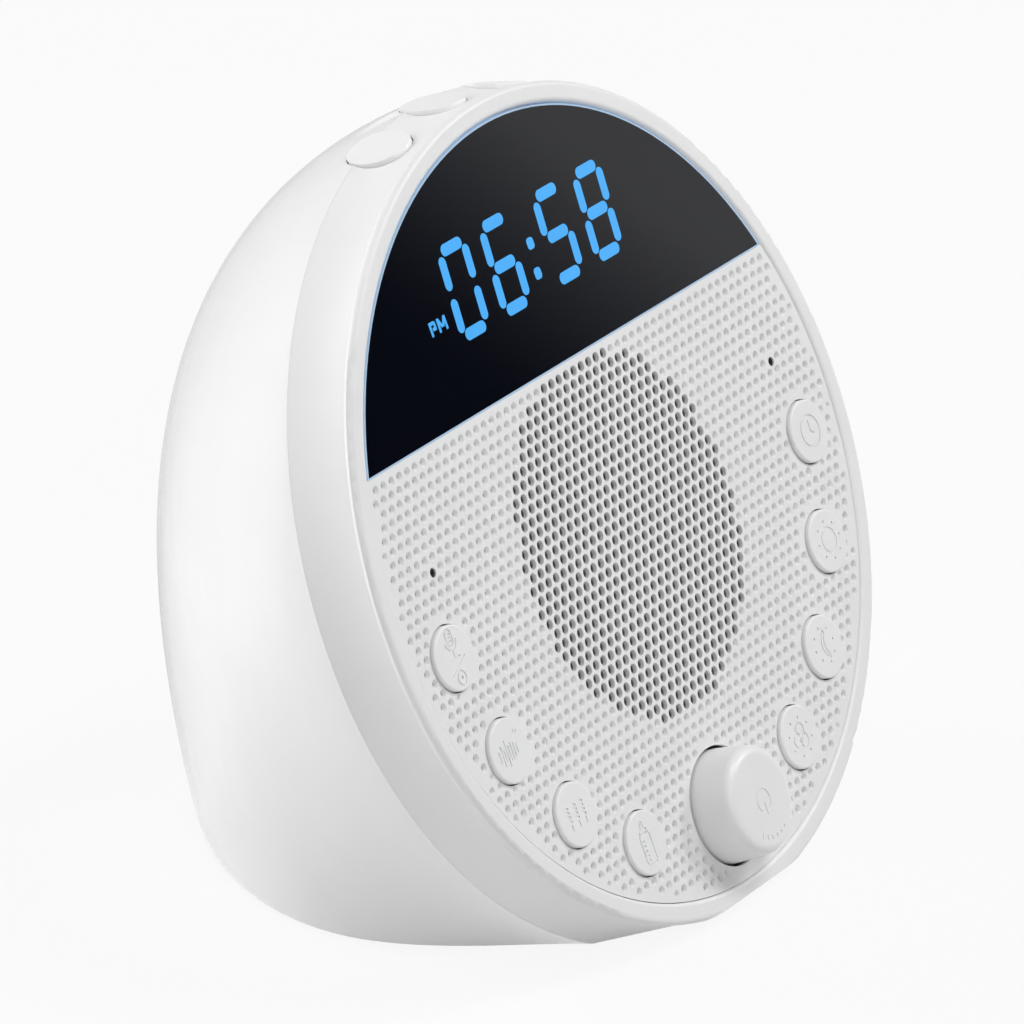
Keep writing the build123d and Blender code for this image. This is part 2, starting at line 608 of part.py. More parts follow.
with BuildPart() as face_switches:
    for x, y in button_places.values():
        half = SWITCH_SIZE / 2
        block((x - half, x + half), (y - half, y + half), BOARD_FRONT, BOARD_FRONT + SWITCH_BODY)
    drum(button_places.values(), 1.1, BOARD_FRONT + SWITCH_BODY,
         BOARD_FRONT + SWITCH_BODY + SWITCH_PLUNGER)
finish(face_switches, "face_switches")

BOARD_BOTTOM = -55.8
BOARD_INNER = 45.5
with BuildPart() as control_board:
    with BuildSketch(face.offset(BOARD_FRONT - BOARD)) as outline:
        Circle(57.5)
        Circle(BOARD_INNER, mode=Mode.SUBTRACT)
        with Locations((0, 32)):
            Rectangle(120, 64, mode=Mode.SUBTRACT)
        with Locations((0, BOARD_BOTTOM - 5)):
            Rectangle(60, 10, mode=Mode.SUBTRACT)
        with Locations((-13, -56.5), (13, -56.5)):
            Rectangle(7, 11, mode=Mode.SUBTRACT)
        with Locations(*CONTROL_FIXINGS):
            Circle(SCREW_RADIUS + 0.2, mode=Mode.SUBTRACT)
    extrude(outline.sketch, amount=BOARD)
finish(control_board, "control_board")

with BuildPart() as control_screws:
    face_screws(CONTROL_FIXINGS, BOARD_FRONT - BOARD, -4.0)
finish(control_screws, "control_screws")

# ---------------------------------------------------------------- knob and rotary encoder
KNOB = (0.0, KNOB_Y)
ENCODER_FRONT = -4.0
NECK_TOP = -2.6
SLEEVE_RADIUS = 3.6
SLEEVE_BOTTOM = -8.2
SLEEVE_TOP = -1.7
SHAFT_TOP = 4.9
with BuildPart() as encoder_body:
    block((-6.2, 6.2), (KNOB_Y - 5.6, KNOB_Y + 6.2), BOARD_FRONT, ENCODER_FRONT)
    drum([KNOB], 4.8, ENCODER_FRONT, NECK_TOP)
    drum([KNOB], SLEEVE_RADIUS + RUNNING_GAP, BOARD_FRONT + 0.1, 0, mode=Mode.SUBTRACT)
finish(encoder_body, "encoder_body")

with BuildPart() as encoder_sleeve:
    turn([(SHAFT_RADIUS + RUNNING_GAP, SLEEVE_BOTTOM), (SLEEVE_RADIUS, SLEEVE_BOTTOM),
          (SLEEVE_RADIUS, SLEEVE_TOP), (SHAFT_RADIUS + RUNNING_GAP, SLEEVE_TOP)], KNOB)
finish(encoder_sleeve, "encoder_sleeve")

D_FLAT = 2.2                # the shaft's flat lies this far from its centre line
with BuildPart() as encoder_shaft:
    drum([KNOB], SHAFT_RADIUS, SLEEVE_BOTTOM, SHAFT_TOP)
    block((D_FLAT, 5), (KNOB_Y - 5, KNOB_Y + 5), SLEEVE_TOP + 1.0, SHAFT_TOP + 1, mode=Mode.SUBTRACT)
finish(encoder_shaft, "encoder_shaft")

KNOB_BOTTOM = -1.6
HUB_RADIUS = 4.8
SKIRT = 1.4
with BuildPart() as volume_knob:
    draft_angle = (KNOB_BASE_RADIUS - KNOB_TOP_RADIUS) / (KNOB_HEIGHT - KNOB_ROUND)
    knob_top = KNOB_BASE_RADIUS - draft_angle * KNOB_HEIGHT
    turn([(0, KNOB_HEIGHT), (knob_top, KNOB_HEIGHT), (KNOB_BASE_RADIUS, 0),
          (KNOB_BASE_RADIUS, KNOB_BOTTOM), (0, KNOB_BOTTOM)], KNOB)
    fillet(volume_knob.edges().filter_by(GeomType.CIRCLE).sort_by(Axis(face.origin, face.z_dir))[-1],
           KNOB_ROUND)
    turn([(HUB_RADIUS, KNOB_BOTTOM - 1), (KNOB_BASE_RADIUS - SKIRT, KNOB_BOTTOM - 1),
          (KNOB_TOP_RADIUS - SKIRT, KNOB_HEIGHT - 1.6), (HUB_RADIUS, KNOB_HEIGHT - 1.6)], KNOB,
         mode=Mode.SUBTRACT)
    drum([KNOB], SHAFT_RADIUS + 0.02, KNOB_BOTTOM - 1, SHAFT_TOP + 0.1, mode=Mode.SUBTRACT)
    block((D_FLAT + 0.02, HUB_RADIUS - 0.4), (KNOB_Y - 2.2, KNOB_Y + 2.2), SLEEVE_TOP + 1.0,
          SHAFT_TOP + 0.1)
finish(volume_knob, "volume_knob")

# ---------------------------------------------------------------- microphones
with BuildPart() as microphones:
    drum(MICROPHONES, 3.0, -DISC_THICKNESS - 3.0, -DISC_THICKNESS - 0.3)
finish(microphones, "microphones")

with BuildPart() as microphone_boots:
    for place in MICROPHONES:
        tube = MICROPHONE_HOLE - RUNNING_GAP
        turn([(0.45, -0.2), (tube, -0.2), (tube, -DISC_THICKNESS), (4.0, -DISC_THICKNESS),
              (4.0, -DISC_THICKNESS - 3.7), (1.2, -DISC_THICKNESS - 3.7), (1.2, -DISC_THICKNESS - 3.0),
              (3.0, -DISC_THICKNESS - 3.0), (3.0, -DISC_THICKNESS - 0.3), (0.45, -DISC_THICKNESS - 0.3)],
             place)
finish(microphone_boots, "microphone_boots")

# ---------------------------------------------------------------- top buttons
WING_TOP = 61.4             # wings under the housing keep each top button in
WING_BOTTOM = 60.6
BRACKET_INNER = 52.8
BRACKET_OUTER = 54.4
FILM_OUTER = 54.7
TOP_SWITCH_TOP = FILM_OUTER + SWITCH_BODY + SWITCH_PLUNGER
TOP_STEM_END = TOP_SWITCH_TOP + BUTTON_TRAVEL + 0.1
TOP_PROFILE = ((65.3, -2.5), (66.1, -6.5), (66.8, -10.3), (66.85, -14.5))

for name, angle in top_button_angles.items():
    with BuildPart() as top_button:
        hub = face.from_local_coords((0, 0, 0))
        with BuildSketch(Plane(origin=hub, x_dir=face.x_dir, z_dir=-face.y_dir)) as crown:
            with BuildLine():
                Spline(*TOP_PROFILE)
                Polyline(TOP_PROFILE[-1], (0, -14.5), (0, -2.5), TOP_PROFILE[0])
            make_face()
        revolve(crown.sketch, axis=Axis(hub, face.z_dir))
        radial_drum(angle, BUTTON_RADIUS, WING_BOTTOM, 72.0, mode=Mode.INTERSECT)
        radial_block(angle, 6.0, 12.4, WING_BOTTOM, WING_TOP)
        radial_drum(angle, STEM_RADIUS, TOP_STEM_END, WING_BOTTOM)
    finish(top_button, name)

with BuildPart() as top_switches:
    for angle in top_button_angles.values():
        radial_block(angle, SWITCH_SIZE, SWITCH_SIZE, FILM_OUTER + 0.05, FILM_OUTER + SWITCH_BODY)
        radial_drum(angle, 1.1, FILM_OUTER + SWITCH_BODY, TOP_SWITCH_TOP)
finish(top_switches, "top_switches")

BRACKET_SPAN = 17.6         # half of the bracket's arc, in degrees
BRACKET_FRONT = -4.9
BRACKET_BACK = -11.9


def arc_strip(inner, outer, span, low, high):
    """Strip that follows the inside of the housing over the top, between two radii."""
    with BuildSketch(face.offset(low)) as outline:
        with BuildLine():
            CenterArc((0, 0), outer, 90 - span, 2 * span)
            CenterArc((0, 0), inner, 90 - span, 2 * span)
            Line(polar(inner, 90 - span), polar(outer, 90 - span))
            Line(polar(inner, 90 + span), polar(outer, 90 + span))
        make_face()
    extrude(outline.sketch, amount=high - low)


ARM_BACK = BRACKET_SEAT - 1.4
with BuildPart() as top_bracket:
    arc_strip(BRACKET_INNER, BRACKET_OUTER, BRACKET_SPAN, BRACKET_BACK, BRACKET_FRONT)
    for side, fixing in zip((1, -1), BRACKET_FIXINGS):
        with BuildSketch(face.offset(ARM_BACK)) as arm:
            with BuildLine():
                Polyline(
                    polar(BRACKET_INNER, 90 + side * (BRACKET_SPAN - 2.0)),
                    polar(BRACKET_OUTER - 0.1, 90 + side * (BRACKET_SPAN - 0.3)),
                    polar(60.2, 90 + side * 22.2),
                    polar(56.6, 90 + side * 25.2),
                    close=True,
                )
            make_face()
            with Locations(fixing):
                Circle(2.8)
                Circle(SCREW_RADIUS + 0.2, mode=Mode.SUBTRACT)
        extrude(arm.sketch, amount=BRACKET_SEAT - ARM_BACK)
finish(top_bracket, "top_bracket")

with BuildPart() as bracket_screws:
    face_screws(BRACKET_FIXINGS, ARM_BACK, -4.6)
finish(bracket_screws, "bracket_screws")

with BuildPart() as top_film:
    arc_strip(BRACKET_OUTER, FILM_OUTER, BRACKET_SPAN - 0.6, BRACKET_BACK + 0.5, BRACKET_FRONT - 0.5)
finish(top_film, "top_film")

# ---------------------------------------------------------------- main board
BOARD_X = 27.0
BOARD_Y = (-18.0, 30.0)
TONGUE_X = 10.0
TONGUE_END = 46.0
with BuildPart() as main_board:
    slab((-BOARD_X, BOARD_X), BOARD_Y, (MAIN_BOARD_BOTTOM, MAIN_BOARD_TOP))
    slab((-TONGUE_X, TONGUE_X), (BOARD_Y[1], TONGUE_END), (MAIN_BOARD_BOTTOM, MAIN_BOARD_TOP))
    upright(MAIN_FIXINGS, SCREW_RADIUS + 0.2, MAIN_BOARD_BOTTOM - 1, MAIN_BOARD_TOP + 1,
            mode=Mode.SUBTRACT)
finish(main_board, "main_board")

with BuildPart() as main_screws:
    upright(MAIN_FIXINGS, SCREW_HEAD, MAIN_BOARD_TOP, MAIN_BOARD_TOP + SCREW_HEAD_HEIGHT)
    upright(MAIN_FIXINGS, SCREW_RADIUS, PAD_THICKNESS + 1.4, MAIN_BOARD_TOP + 0.1)
finish(main_screws, "main_screws")

with BuildPart() as board_chips:
    slab((-8.0, 1.0), (-4.0, 5.0), (MAIN_BOARD_TOP, MAIN_BOARD_TOP + 1.2))
    slab((7.0, 12.0), (-6.0, 0.0), (MAIN_BOARD_TOP, MAIN_BOARD_TOP + 1.6))
    slab((7.0, 13.0), (4.0, 9.0), (MAIN_BOARD_TOP, MAIN_BOARD_TOP + 1.6))
finish(board_chips, "board_chips")

with BuildPart() as board_capacitors:
    upright([(-15.0, -12.0), (17.0, 18.0), (8.0, 26.0)], 3.2, MAIN_BOARD_TOP, MAIN_BOARD_TOP + 8.0)
finish(board_capacitors, "board_capacitors")

PLUG_HEIGHT = 4.0
with BuildPart() as board_plugs:
    slab((-6.0, 6.0), (-17.5, -13.5), (MAIN_BOARD_TOP, MAIN_BOARD_TOP + PLUG_HEIGHT))
    slab((17.0, 25.5), (-4.6, -0.6), (MAIN_BOARD_TOP, MAIN_BOARD_TOP + PLUG_HEIGHT))
    slab((-24.0, -18.0), (-6.0, -2.0), (MAIN_BOARD_TOP, MAIN_BOARD_TOP + PLUG_HEIGHT))
finish(board_plugs, "board_plugs")

CELL = (-12.0, 16.5)
with BuildPart() as cell_holder:
    upright([CELL], 11.4, MAIN_BOARD_TOP, MAIN_BOARD_TOP + 4.0)
    upright([CELL], 10.2, MAIN_BOARD_TOP + 0.6, MAIN_BOARD_TOP + 5.0, mode=Mode.SUBTRACT)
finish(cell_holder, "cell_holder")

with BuildPart() as coin_cell:
    upright([CELL], 10.0, MAIN_BOARD_TOP + 0.6, MAIN_BOARD_TOP + 3.8)
    fillet(coin_cell.edges().filter_by(GeomType.CIRCLE), 0.3)
finish(coin_cell, "coin_cell")

with BuildPart() as power_socket:
    with BuildSketch(Plane.XZ.offset(-INLET_BACK)) as mouth:
        with Locations((0, INLET_Z)):
            SlotOverall(INLET_WIDTH, INLET_HEIGHT)
    extrude(mouth.sketch, amount=7.4)
    with BuildSketch(Plane.XZ.offset(-INLET_BACK)) as hollow:
        with Locations((0, INLET_Z)):
            SlotOverall(INLET_WIDTH - 0.6, INLET_HEIGHT - 0.6)
    extrude(hollow.sketch, amount=6.4, mode=Mode.SUBTRACT)
    slab((-3.35, 3.35), (INLET_BACK - 7.0, INLET_BACK - 1.5), (INLET_Z - 0.35, INLET_Z + 0.35))
finish(power_socket, "power_socket")

# ---------------------------------------------------------------- night light
NIGHT_Y = 9.0
UPRIGHT_X = (31.0, 34.0)
NIGHT_TOP = 66.0
NIGHT_BOTTOM = 36.0
with BuildPart() as night_frame:
    for side in (-1, 1):
        x_range = sorted((side * UPRIGHT_X[0], side * UPRIGHT_X[1]))
        slab(x_range, (NIGHT_Y - 5.0, NIGHT_Y), (PLATE_TOP, NIGHT_TOP))
        slab(sorted((side * 29.0, side * 36.5)), (NIGHT_Y - 9.5, NIGHT_Y - 2.0), (PLATE_TOP, PLATE_TOP + 2))
    slab((-UPRIGHT_X[1], UPRIGHT_X[1]), (NIGHT_Y - 3.0, NIGHT_Y), (NIGHT_TOP - 5, NIGHT_TOP))
    slab((-UPRIGHT_X[1], UPRIGHT_X[1]), (NIGHT_Y - 3.0, NIGHT_Y), (NIGHT_BOTTOM, NIGHT_BOTTOM + 5))
finish(night_frame, "night_frame")

NIGHT_SCREWS = ((-28.0, NIGHT_TOP - 2.5), (28.0, NIGHT_TOP - 2.5),
                (-28.0, NIGHT_BOTTOM + 2.5), (28.0, NIGHT_BOTTOM + 2.5))
with BuildPart() as night_board:
    slab((-31.0, 31.0), (NIGHT_Y, NIGHT_Y + BOARD), (NIGHT_BOTTOM, NIGHT_TOP))
finish(night_board, "night_board")

with BuildPart() as night_leds:
    with BuildSketch(Plane.XZ.offset(-NIGHT_Y - BOARD)) as lamps:
        with Locations((0, (NIGHT_TOP + NIGHT_BOTTOM) / 2)):
            with GridLocations(14.0, 14.0, 4, 2):
                Rectangle(5.0, 5.0)
    extrude(lamps.sketch, amount=-1.6)
finish(night_leds, "night_leds")

with BuildPart() as night_screws:
    with BuildSketch(Plane.XZ.offset(-NIGHT_Y - BOARD)) as heads:
        with Locations(*NIGHT_SCREWS):
            Circle(SCREW_HEAD)
    extrude(heads.sketch, amount=-SCREW_HEAD_HEIGHT)
finish(night_screws, "night_screws")

# ---------------------------------------------------------------- flat cables
CABLE = 0.4
with BuildPart() as display_cable:
    start = face.from_local_coords((0, 30.0, BOARD_FRONT - BOARD))
    with BuildSketch(Plane.YZ.offset(17.5)) as strip:
        with BuildLine():
            Polyline(
                (start.Y, start.Z),
                (start.Y + 0.4, start.Z - 0.8),
                (-2.2, 80.0),
                (-2.2, MAIN_BOARD_TOP + PLUG_HEIGHT),
                (-2.2 - CABLE, MAIN_BOARD_TOP + PLUG_HEIGHT),
                (-2.2 - CABLE, 80.0),
                close=True,
            )
        make_face()
    extrude(strip.sketch, amount=7.5)
finish(display_cable, "display_cable")

with BuildPart() as control_cable:
    end = face.from_local_coords((0, -52.0, BOARD_FRONT - BOARD))
    with BuildSketch(Plane.YZ.offset(-5.0)) as strip:
        with BuildLine():
            Polyline(
                (end.Y, end.Z),
                (end.Y + 0.4, end.Z + 0.95),
                (-17.5, MAIN_BOARD_TOP + 2.6),
                (-17.5, MAIN_BOARD_TOP + 2.0),
                close=True,
            )
        make_face()
    extrude(strip.sketch, amount=10.0)
finish(control_cable, "control_cable")
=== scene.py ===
"""White noise sound machine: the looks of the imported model, in metres, +Z up, face towards -Y."""

import math

import bpy
import numpy as np
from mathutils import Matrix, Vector
from mathutils.geometry import delaunay_2d_cdt


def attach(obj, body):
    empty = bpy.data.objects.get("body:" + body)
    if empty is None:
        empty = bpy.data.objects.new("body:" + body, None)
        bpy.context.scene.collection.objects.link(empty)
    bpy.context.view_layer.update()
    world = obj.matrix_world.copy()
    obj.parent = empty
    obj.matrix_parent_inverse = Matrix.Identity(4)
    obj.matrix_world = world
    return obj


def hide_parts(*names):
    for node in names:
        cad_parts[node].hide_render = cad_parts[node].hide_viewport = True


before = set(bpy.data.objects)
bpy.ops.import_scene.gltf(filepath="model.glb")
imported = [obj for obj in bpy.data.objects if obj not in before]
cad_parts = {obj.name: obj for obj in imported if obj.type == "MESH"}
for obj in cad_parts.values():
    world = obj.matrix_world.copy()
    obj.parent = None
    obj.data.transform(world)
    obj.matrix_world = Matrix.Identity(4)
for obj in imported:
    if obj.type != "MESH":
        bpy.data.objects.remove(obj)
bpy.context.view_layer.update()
scene = bpy.context.scene

# ---------------------------------------------------------------- camera
# A long lens a metre and a half away, to the left of the face and a little above it.
CAMERA_PLACE = (-1.132898, -0.701256, 0.606040)
CAMERA_AIM = (0.786941, 0.483716, -0.383071)
CAMERA_LENS = 331.3

camera = bpy.data.objects.new("camera", bpy.data.cameras.new("camera"))
camera.data.lens = CAMERA_LENS
camera.data.sensor_width = 36
camera.data.clip_start = 0.05
camera.data.clip_end = 50
camera.location = CAMERA_PLACE
camera.rotation_euler = Vector(CAMERA_AIM).to_track_quat("-Z", "Y").to_euler()
scene.collection.objects.link(camera)
scene.camera = camera
scene.view_settings.view_transform = "Standard"

# ---------------------------------------------------------------- studio
# A pale table top, seven soft panels round the object and a dim sky. The camera sees a white
# backdrop in place of that sky, and two cards that only reflections see shape the gloss.
WHITE = (1, 1, 1, 1)
SQUARE = ((-1, -1), (1, -1), (1, 1), (-1, 1))
FLOOR_HALF = 6.0
FLOOR_GREY = (0.68, 0.68, 0.68, 1)
FLOOR_GLOW = 0.9            # share of plain white on the floor, for the camera and reflections
BODY_AIM = (0, 0, 0.06)
SHELL_AIM = (0, 0.02, 0.06)
FOOT_AIM = (0, 0.02, 0.03)


def node_tree(name):
    """Empty node material: returns it with its nodes, its links and its output node."""
    material = bpy.data.materials.new(name)
    material.use_nodes = True
    nodes, links = material.node_tree.nodes, material.node_tree.links
    nodes.clear()
    return material, nodes, links, nodes.new("ShaderNodeOutputMaterial")


def maths(nodes, links, operation, *values):
    """Output of a maths node. Each value is a number, or an output that is linked to it."""
    node = nodes.new("ShaderNodeMath")
    node.operation = operation
    for entry, value in zip(node.inputs, values):
        if isinstance(value, bpy.types.NodeSocket):
            links.new(value, entry)
        else:
            entry.default_value = value
    return node.outputs[0]


def along(nodes, links, source, way):
    """Output that says how far the vector source goes along way, as their dot product."""
    node = nodes.new("ShaderNodeVectorMath")
    node.operation = "DOT_PRODUCT"
    node.inputs[1].default_value = way
    links.new(source, node.inputs[0])
    return node.outputs["Value"]


def ranged(nodes, links, source, span, levels=(0.0, 1.0), easing="LINEAR"):
    """Output that goes from the first level to the second while the source crosses the span."""
    node = nodes.new("ShaderNodeMapRange")
    node.interpolation_type = easing
    for entry, value in zip(("From Min", "From Max", "To Min", "To Max"), (*span, *levels)):
        node.inputs[entry].default_value = value
    links.new(source, node.inputs["Value"])
    return node.outputs[0]


def seen_by(nodes, links, camera, gloss):
    """Output that is camera for the camera's rays, gloss for reflected ones and 0 for the rest."""
    path = nodes.new("ShaderNodeLightPath")
    share = maths(nodes, links, "MULTIPLY", path.outputs["Is Camera Ray"], camera)
    return maths(nodes, links, "MULTIPLY_ADD", path.outputs["Is Glossy Ray"], gloss, share)


def flat_piece(name, corners, faces):
    """Object of flat faces with an empty node material: it, the nodes, links and output node."""
    mesh = bpy.data.meshes.new(name)
    mesh.from_pydata(corners, [], faces)
    piece = bpy.data.objects.new(name, mesh)
    scene.collection.objects.link(piece)
    material, nodes, links, output = node_tree(name)
    mesh.materials.append(material)
    return piece, nodes, links, output


def only_reflected(piece):
    """Keep a piece from the camera, diffuse light and shadows, so that reflections see it."""
    piece.visible_camera = False
    piece.visible_diffuse = False
    piece.visible_shadow = False


def panel(name, place, aim, size, power, sheen=True):
    """Rectangular soft light at place, turned to the point aim. Only with sheen do reflections
    see it."""
    lamp = bpy.data.lights.new(name, "AREA")
    lamp.shape = "RECTANGLE"
    lamp.size, lamp.size_y = size
    lamp.energy = power
    holder = bpy.data.objects.new(name, lamp)
    holder.visible_camera = False
    holder.visible_glossy = sheen
    holder.location = place
    holder.rotation_euler = (Vector(aim) - Vector(place)).to_track_quat("-Z", "Y").to_euler()
    scene.collection.objects.link(holder)


floor, nodes, links, output = flat_piece(
    "table_top", [(x * FLOOR_HALF, y * FLOOR_HALF, 0) for x, y in SQUARE], [(0, 1, 2, 3)],
)
shade = nodes.new("ShaderNodeBsdfDiffuse")
shade.inputs["Color"].default_value = FLOOR_GREY
glow = nodes.new("ShaderNodeEmission")
blend = nodes.new("ShaderNodeMixShader")
links.new(seen_by(nodes, links, FLOOR_GLOW, FLOOR_GLOW), blend.inputs[0])
links.new(shade.outputs[0], blend.inputs[1])
links.new(glow.outputs[0], blend.inputs[2])
links.new(blend.outputs[0], output.inputs["Surface"])

# The sky gives a little light, and less from a patch low on the right of the face, towards
# GLASS_WAY, where the display window looks. The camera sees the white backdrop instead of the
# sky, and reflections see a mixture of the two.
GLASS_WAY = (0.787, -0.613, 0.075)
SKY_GLOW = 0.045
PATCH_GLOW = 0.02
PATCH_EDGES = (0.86, 0.975)   # cosines of the angles from GLASS_WAY at the patch's two edges
BACKDROP_GLOSS = 0.6          # share of the backdrop in what reflections see
world = bpy.data.worlds.new("sky")
scene.world = world
world.use_nodes = True
nodes, links = world.node_tree.nodes, world.node_tree.links
nodes.clear()
output = nodes.new("ShaderNodeOutputWorld")
way = nodes.new("ShaderNodeTexCoord").outputs["Generated"]
toward = along(nodes, links, way, GLASS_WAY)
dim = ranged(nodes, links, toward, PATCH_EDGES, (SKY_GLOW, PATCH_GLOW), easing="SMOOTHSTEP")
sky = nodes.new("ShaderNodeBackground")
sky.inputs["Color"].default_value = WHITE
backdrop = nodes.new("ShaderNodeBackground")
backdrop.inputs["Color"].default_value = WHITE
pick = nodes.new("ShaderNodeMixShader")
links.new(dim, sky.inputs["Strength"])
links.new(seen_by(nodes, links, 1.0, BACKDROP_GLOSS), pick.inputs[0])
links.new(sky.outputs[0], pick.inputs[1])
links.new(backdrop.outputs[0], pick.inputs[2])
links.new(pick.outputs[0], output.inputs["Surface"])

panel("left_panel", (-1.25, 0.35, 0.55), SHELL_AIM, (0.7, 0.9), 2.0, sheen=False)
panel("rear_panel", (-0.45, 1.2, 0.5), SHELL_AIM, (0.8, 0.9), 13.6, sheen=False)
panel("low_panel", (-0.75, 0.55, 0.07), FOOT_AIM, (0.7, 0.12), 0.6, sheen=False)
panel("right_panel", (0.95, -0.75, 0.85), BODY_AIM, (0.4, 0.4), 6.6)
panel("key_panel", (0.25, -0.55, 1.2), BODY_AIM, (0.4, 0.4), 6.0)
panel("top_panel", (-0.2, 0.35, 1.2), BODY_AIM, (0.8, 0.8), 1.6, sheen=False)
panel("near_panel", (-0.8, -0.95, 0.8), BODY_AIM, (0.4, 0.4), 5.0)

# A white card that only reflections see: it lies on the table behind the object and stands up at
# the back. The shell shows its left edge as a crisp line, and its glow fades out to the right and
# towards the object.
SHEEN_FLAT = [(-0.05, 0.0, 0.002), (0.12, 0.0, 0.002), (1.3, 1.2, 0.002), (-0.746, 1.2, 0.002)]
SHEEN_UPRIGHT = [(1.3, 1.2, 0.65), (0.02, 1.2, 0.68), (-0.36, 1.2, 0.56), (-0.7, 1.2, 0.26)]
SHEEN_BEARINGS = (-0.5, 0.4)      # radians from +Y towards +X, where the fade starts and ends
SHEEN_GLOW = (1.3, 0.65)
SHEEN_NEAR = (0.03, 0.13)         # Y up to which it is dimmest, and Y from which it is full
SHEEN_NEAR_SHARE = (0.62, 1.0)
sheen, nodes, links, output = flat_piece(
    "sheen_card", SHEEN_FLAT + SHEEN_UPRIGHT, [(0, 1, 2, 3), (3, 2, 4, 5, 6, 7)],
)
only_reflected(sheen)
split = nodes.new("ShaderNodeSeparateXYZ")
links.new(nodes.new("ShaderNodeTexCoord").outputs["Object"], split.inputs[0])
bearing = maths(nodes, links, "ARCTAN2", split.outputs["X"], split.outputs["Y"])
fade = ranged(nodes, links, bearing, SHEEN_BEARINGS, SHEEN_GLOW)
near = ranged(nodes, links, split.outputs["Y"], SHEEN_NEAR, SHEEN_NEAR_SHARE)
glow = nodes.new("ShaderNodeEmission")
links.new(maths(nodes, links, "MULTIPLY", fade, near), glow.inputs["Strength"])
links.new(glow.outputs[0], output.inputs["Surface"])

# A graded card that only reflections see. It stands square to GLASS_WAY, and its glow rises across
# it, so the window goes from black on the left to a grey sheen on the right.
CARD_FROM = (0, -0.03, 0.1)
CARD_DISTANCE = 0.45
CARD_HALF = 0.28
CARD_RISE = (1.0, 1.3475, 0.5203)
CARD_SPAN = (0.010, 0.095)        # places along CARD_RISE where the glow starts and is full
CARD_CURVE = 1.8
CARD_GLOW = 0.6
card_out = Vector(GLASS_WAY).normalized()
card_side = Vector(CARD_RISE).normalized()
card_up = card_out.cross(card_side)
card_middle = Vector(CARD_FROM) + CARD_DISTANCE * card_out
card, nodes, links, output = flat_piece(
    "graded_card",
    [card_middle + CARD_HALF * (side * card_side + up * card_up) for side, up in SQUARE],
    [(0, 1, 2, 3)],
)
only_reflected(card)
place = nodes.new("ShaderNodeTexCoord").outputs["Object"]
rise = ranged(nodes, links, along(nodes, links, place, CARD_RISE), CARD_SPAN)
curve = maths(nodes, links, "POWER", rise, CARD_CURVE)
glow = nodes.new("ShaderNodeEmission")
links.new(maths(nodes, links, "MULTIPLY", curve, CARD_GLOW), glow.inputs["Strength"])
links.new(glow.outputs[0], output.inputs["Surface"])

# ---------------------------------------------------------------- front housing and rear shell
# Two thin ABS mouldings that meet behind the face on a round seam. The front one is spark eroded
# to a fine satin, and the rear one comes from a polished tool, so it is glossy.
PLASTIC_IOR = 1.5
COAT_ROUGHNESS = 0.04
DRIFT_SCALE = 45.0
GRAIN_DEPTH = 0.00005


def noise(nodes, links, vector, scale, detail=2.0):
    """Output of a noise of this scale and detail on the vector."""
    node = nodes.new("ShaderNodeTexNoise")
    node.inputs["Scale"].default_value = scale
    node.inputs["Detail"].default_value = detail
    links.new(vector, node.inputs["Vector"])
    return node.outputs[0]


def tinted(nodes, links, source, colour, gains, spots=(0.0, 1.0)):
    """Output that goes from the colour times the first gain to the colour times the second while
    the source goes from the first spot to the second. No channel goes over 1."""
    node = nodes.new("ShaderNodeValToRGB")
    for stop, spot, gain in zip(node.color_ramp.elements, spots, gains):
        stop.position = spot
        stop.color = tuple(min(1, channel * gain) for channel in colour) + (1,)
    links.new(source, node.inputs[0])
    return node.outputs[0]


def bumped(nodes, links, source, strength, distance):
    """Output of the normal, tipped as if the source were a height of this distance."""
    node = nodes.new("ShaderNodeBump")
    node.inputs["Strength"].default_value = strength
    node.inputs["Distance"].default_value = distance
    links.new(source, node.inputs["Height"])
    return node.outputs[0]


def surface(name, **settings):
    """Principled material with these settings, where Base_Color stands for Base Color: gives it,
    its nodes, its links, the shader's inputs and the output of the object's coordinates."""
    material, nodes, links, output = node_tree(name)
    shader = nodes.new("ShaderNodeBsdfPrincipled")
    for setting, value in settings.items():
        shader.inputs[setting.replace("_", " ")].default_value = value
    links.new(shader.outputs[0], output.inputs["Surface"])
    place = nodes.new("ShaderNodeTexCoord").outputs["Object"]
    return material, nodes, links, shader.inputs, place


def plastic(name, colour, roughness, grain=0.0, grain_size=0.00025, coat=0.0):
    """Moulded plastic. A slow noise drifts the colour by about one percent and the roughness by
    eight, and a fine noise of the size of the tool's grain is the bump."""
    material, nodes, links, inputs, place = surface(
        name, IOR=PLASTIC_IOR, Coat_Weight=coat, Coat_Roughness=COAT_ROUGHNESS,
    )
    drift = noise(nodes, links, place, DRIFT_SCALE, detail=3.0)
    tint = tinted(nodes, links, drift, colour, gains=(0.985, 1.01), spots=(0.3, 0.7))
    spread = ranged(nodes, links, drift, (0, 1), (roughness * 0.92, roughness * 1.08))
    links.new(tint, inputs["Base Color"])
    links.new(spread, inputs["Roughness"])
    if grain:
        pits = noise(nodes, links, place, 1.0 / grain_size)
        links.new(bumped(nodes, links, pits, grain, GRAIN_DEPTH), inputs["Normal"])
    return material


def dress(material, slot, *names):
    """Give CAD nodes this finish. The slot, the record's slot that it stands for, is not used."""
    for name in names:
        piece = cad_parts[name]
        piece.data.materials.clear()
        piece.data.materials.append(material)


housing_white = plastic("housing_white", (0.84, 0.84, 0.845), 0.42, grain=0.25)
shell_white = plastic("shell_white", (0.86, 0.86, 0.865), 0.08, coat=0.35)
dress(housing_white, "housing_satin", "front_housing")
dress(shell_white, "shell_gloss", "rear_shell")

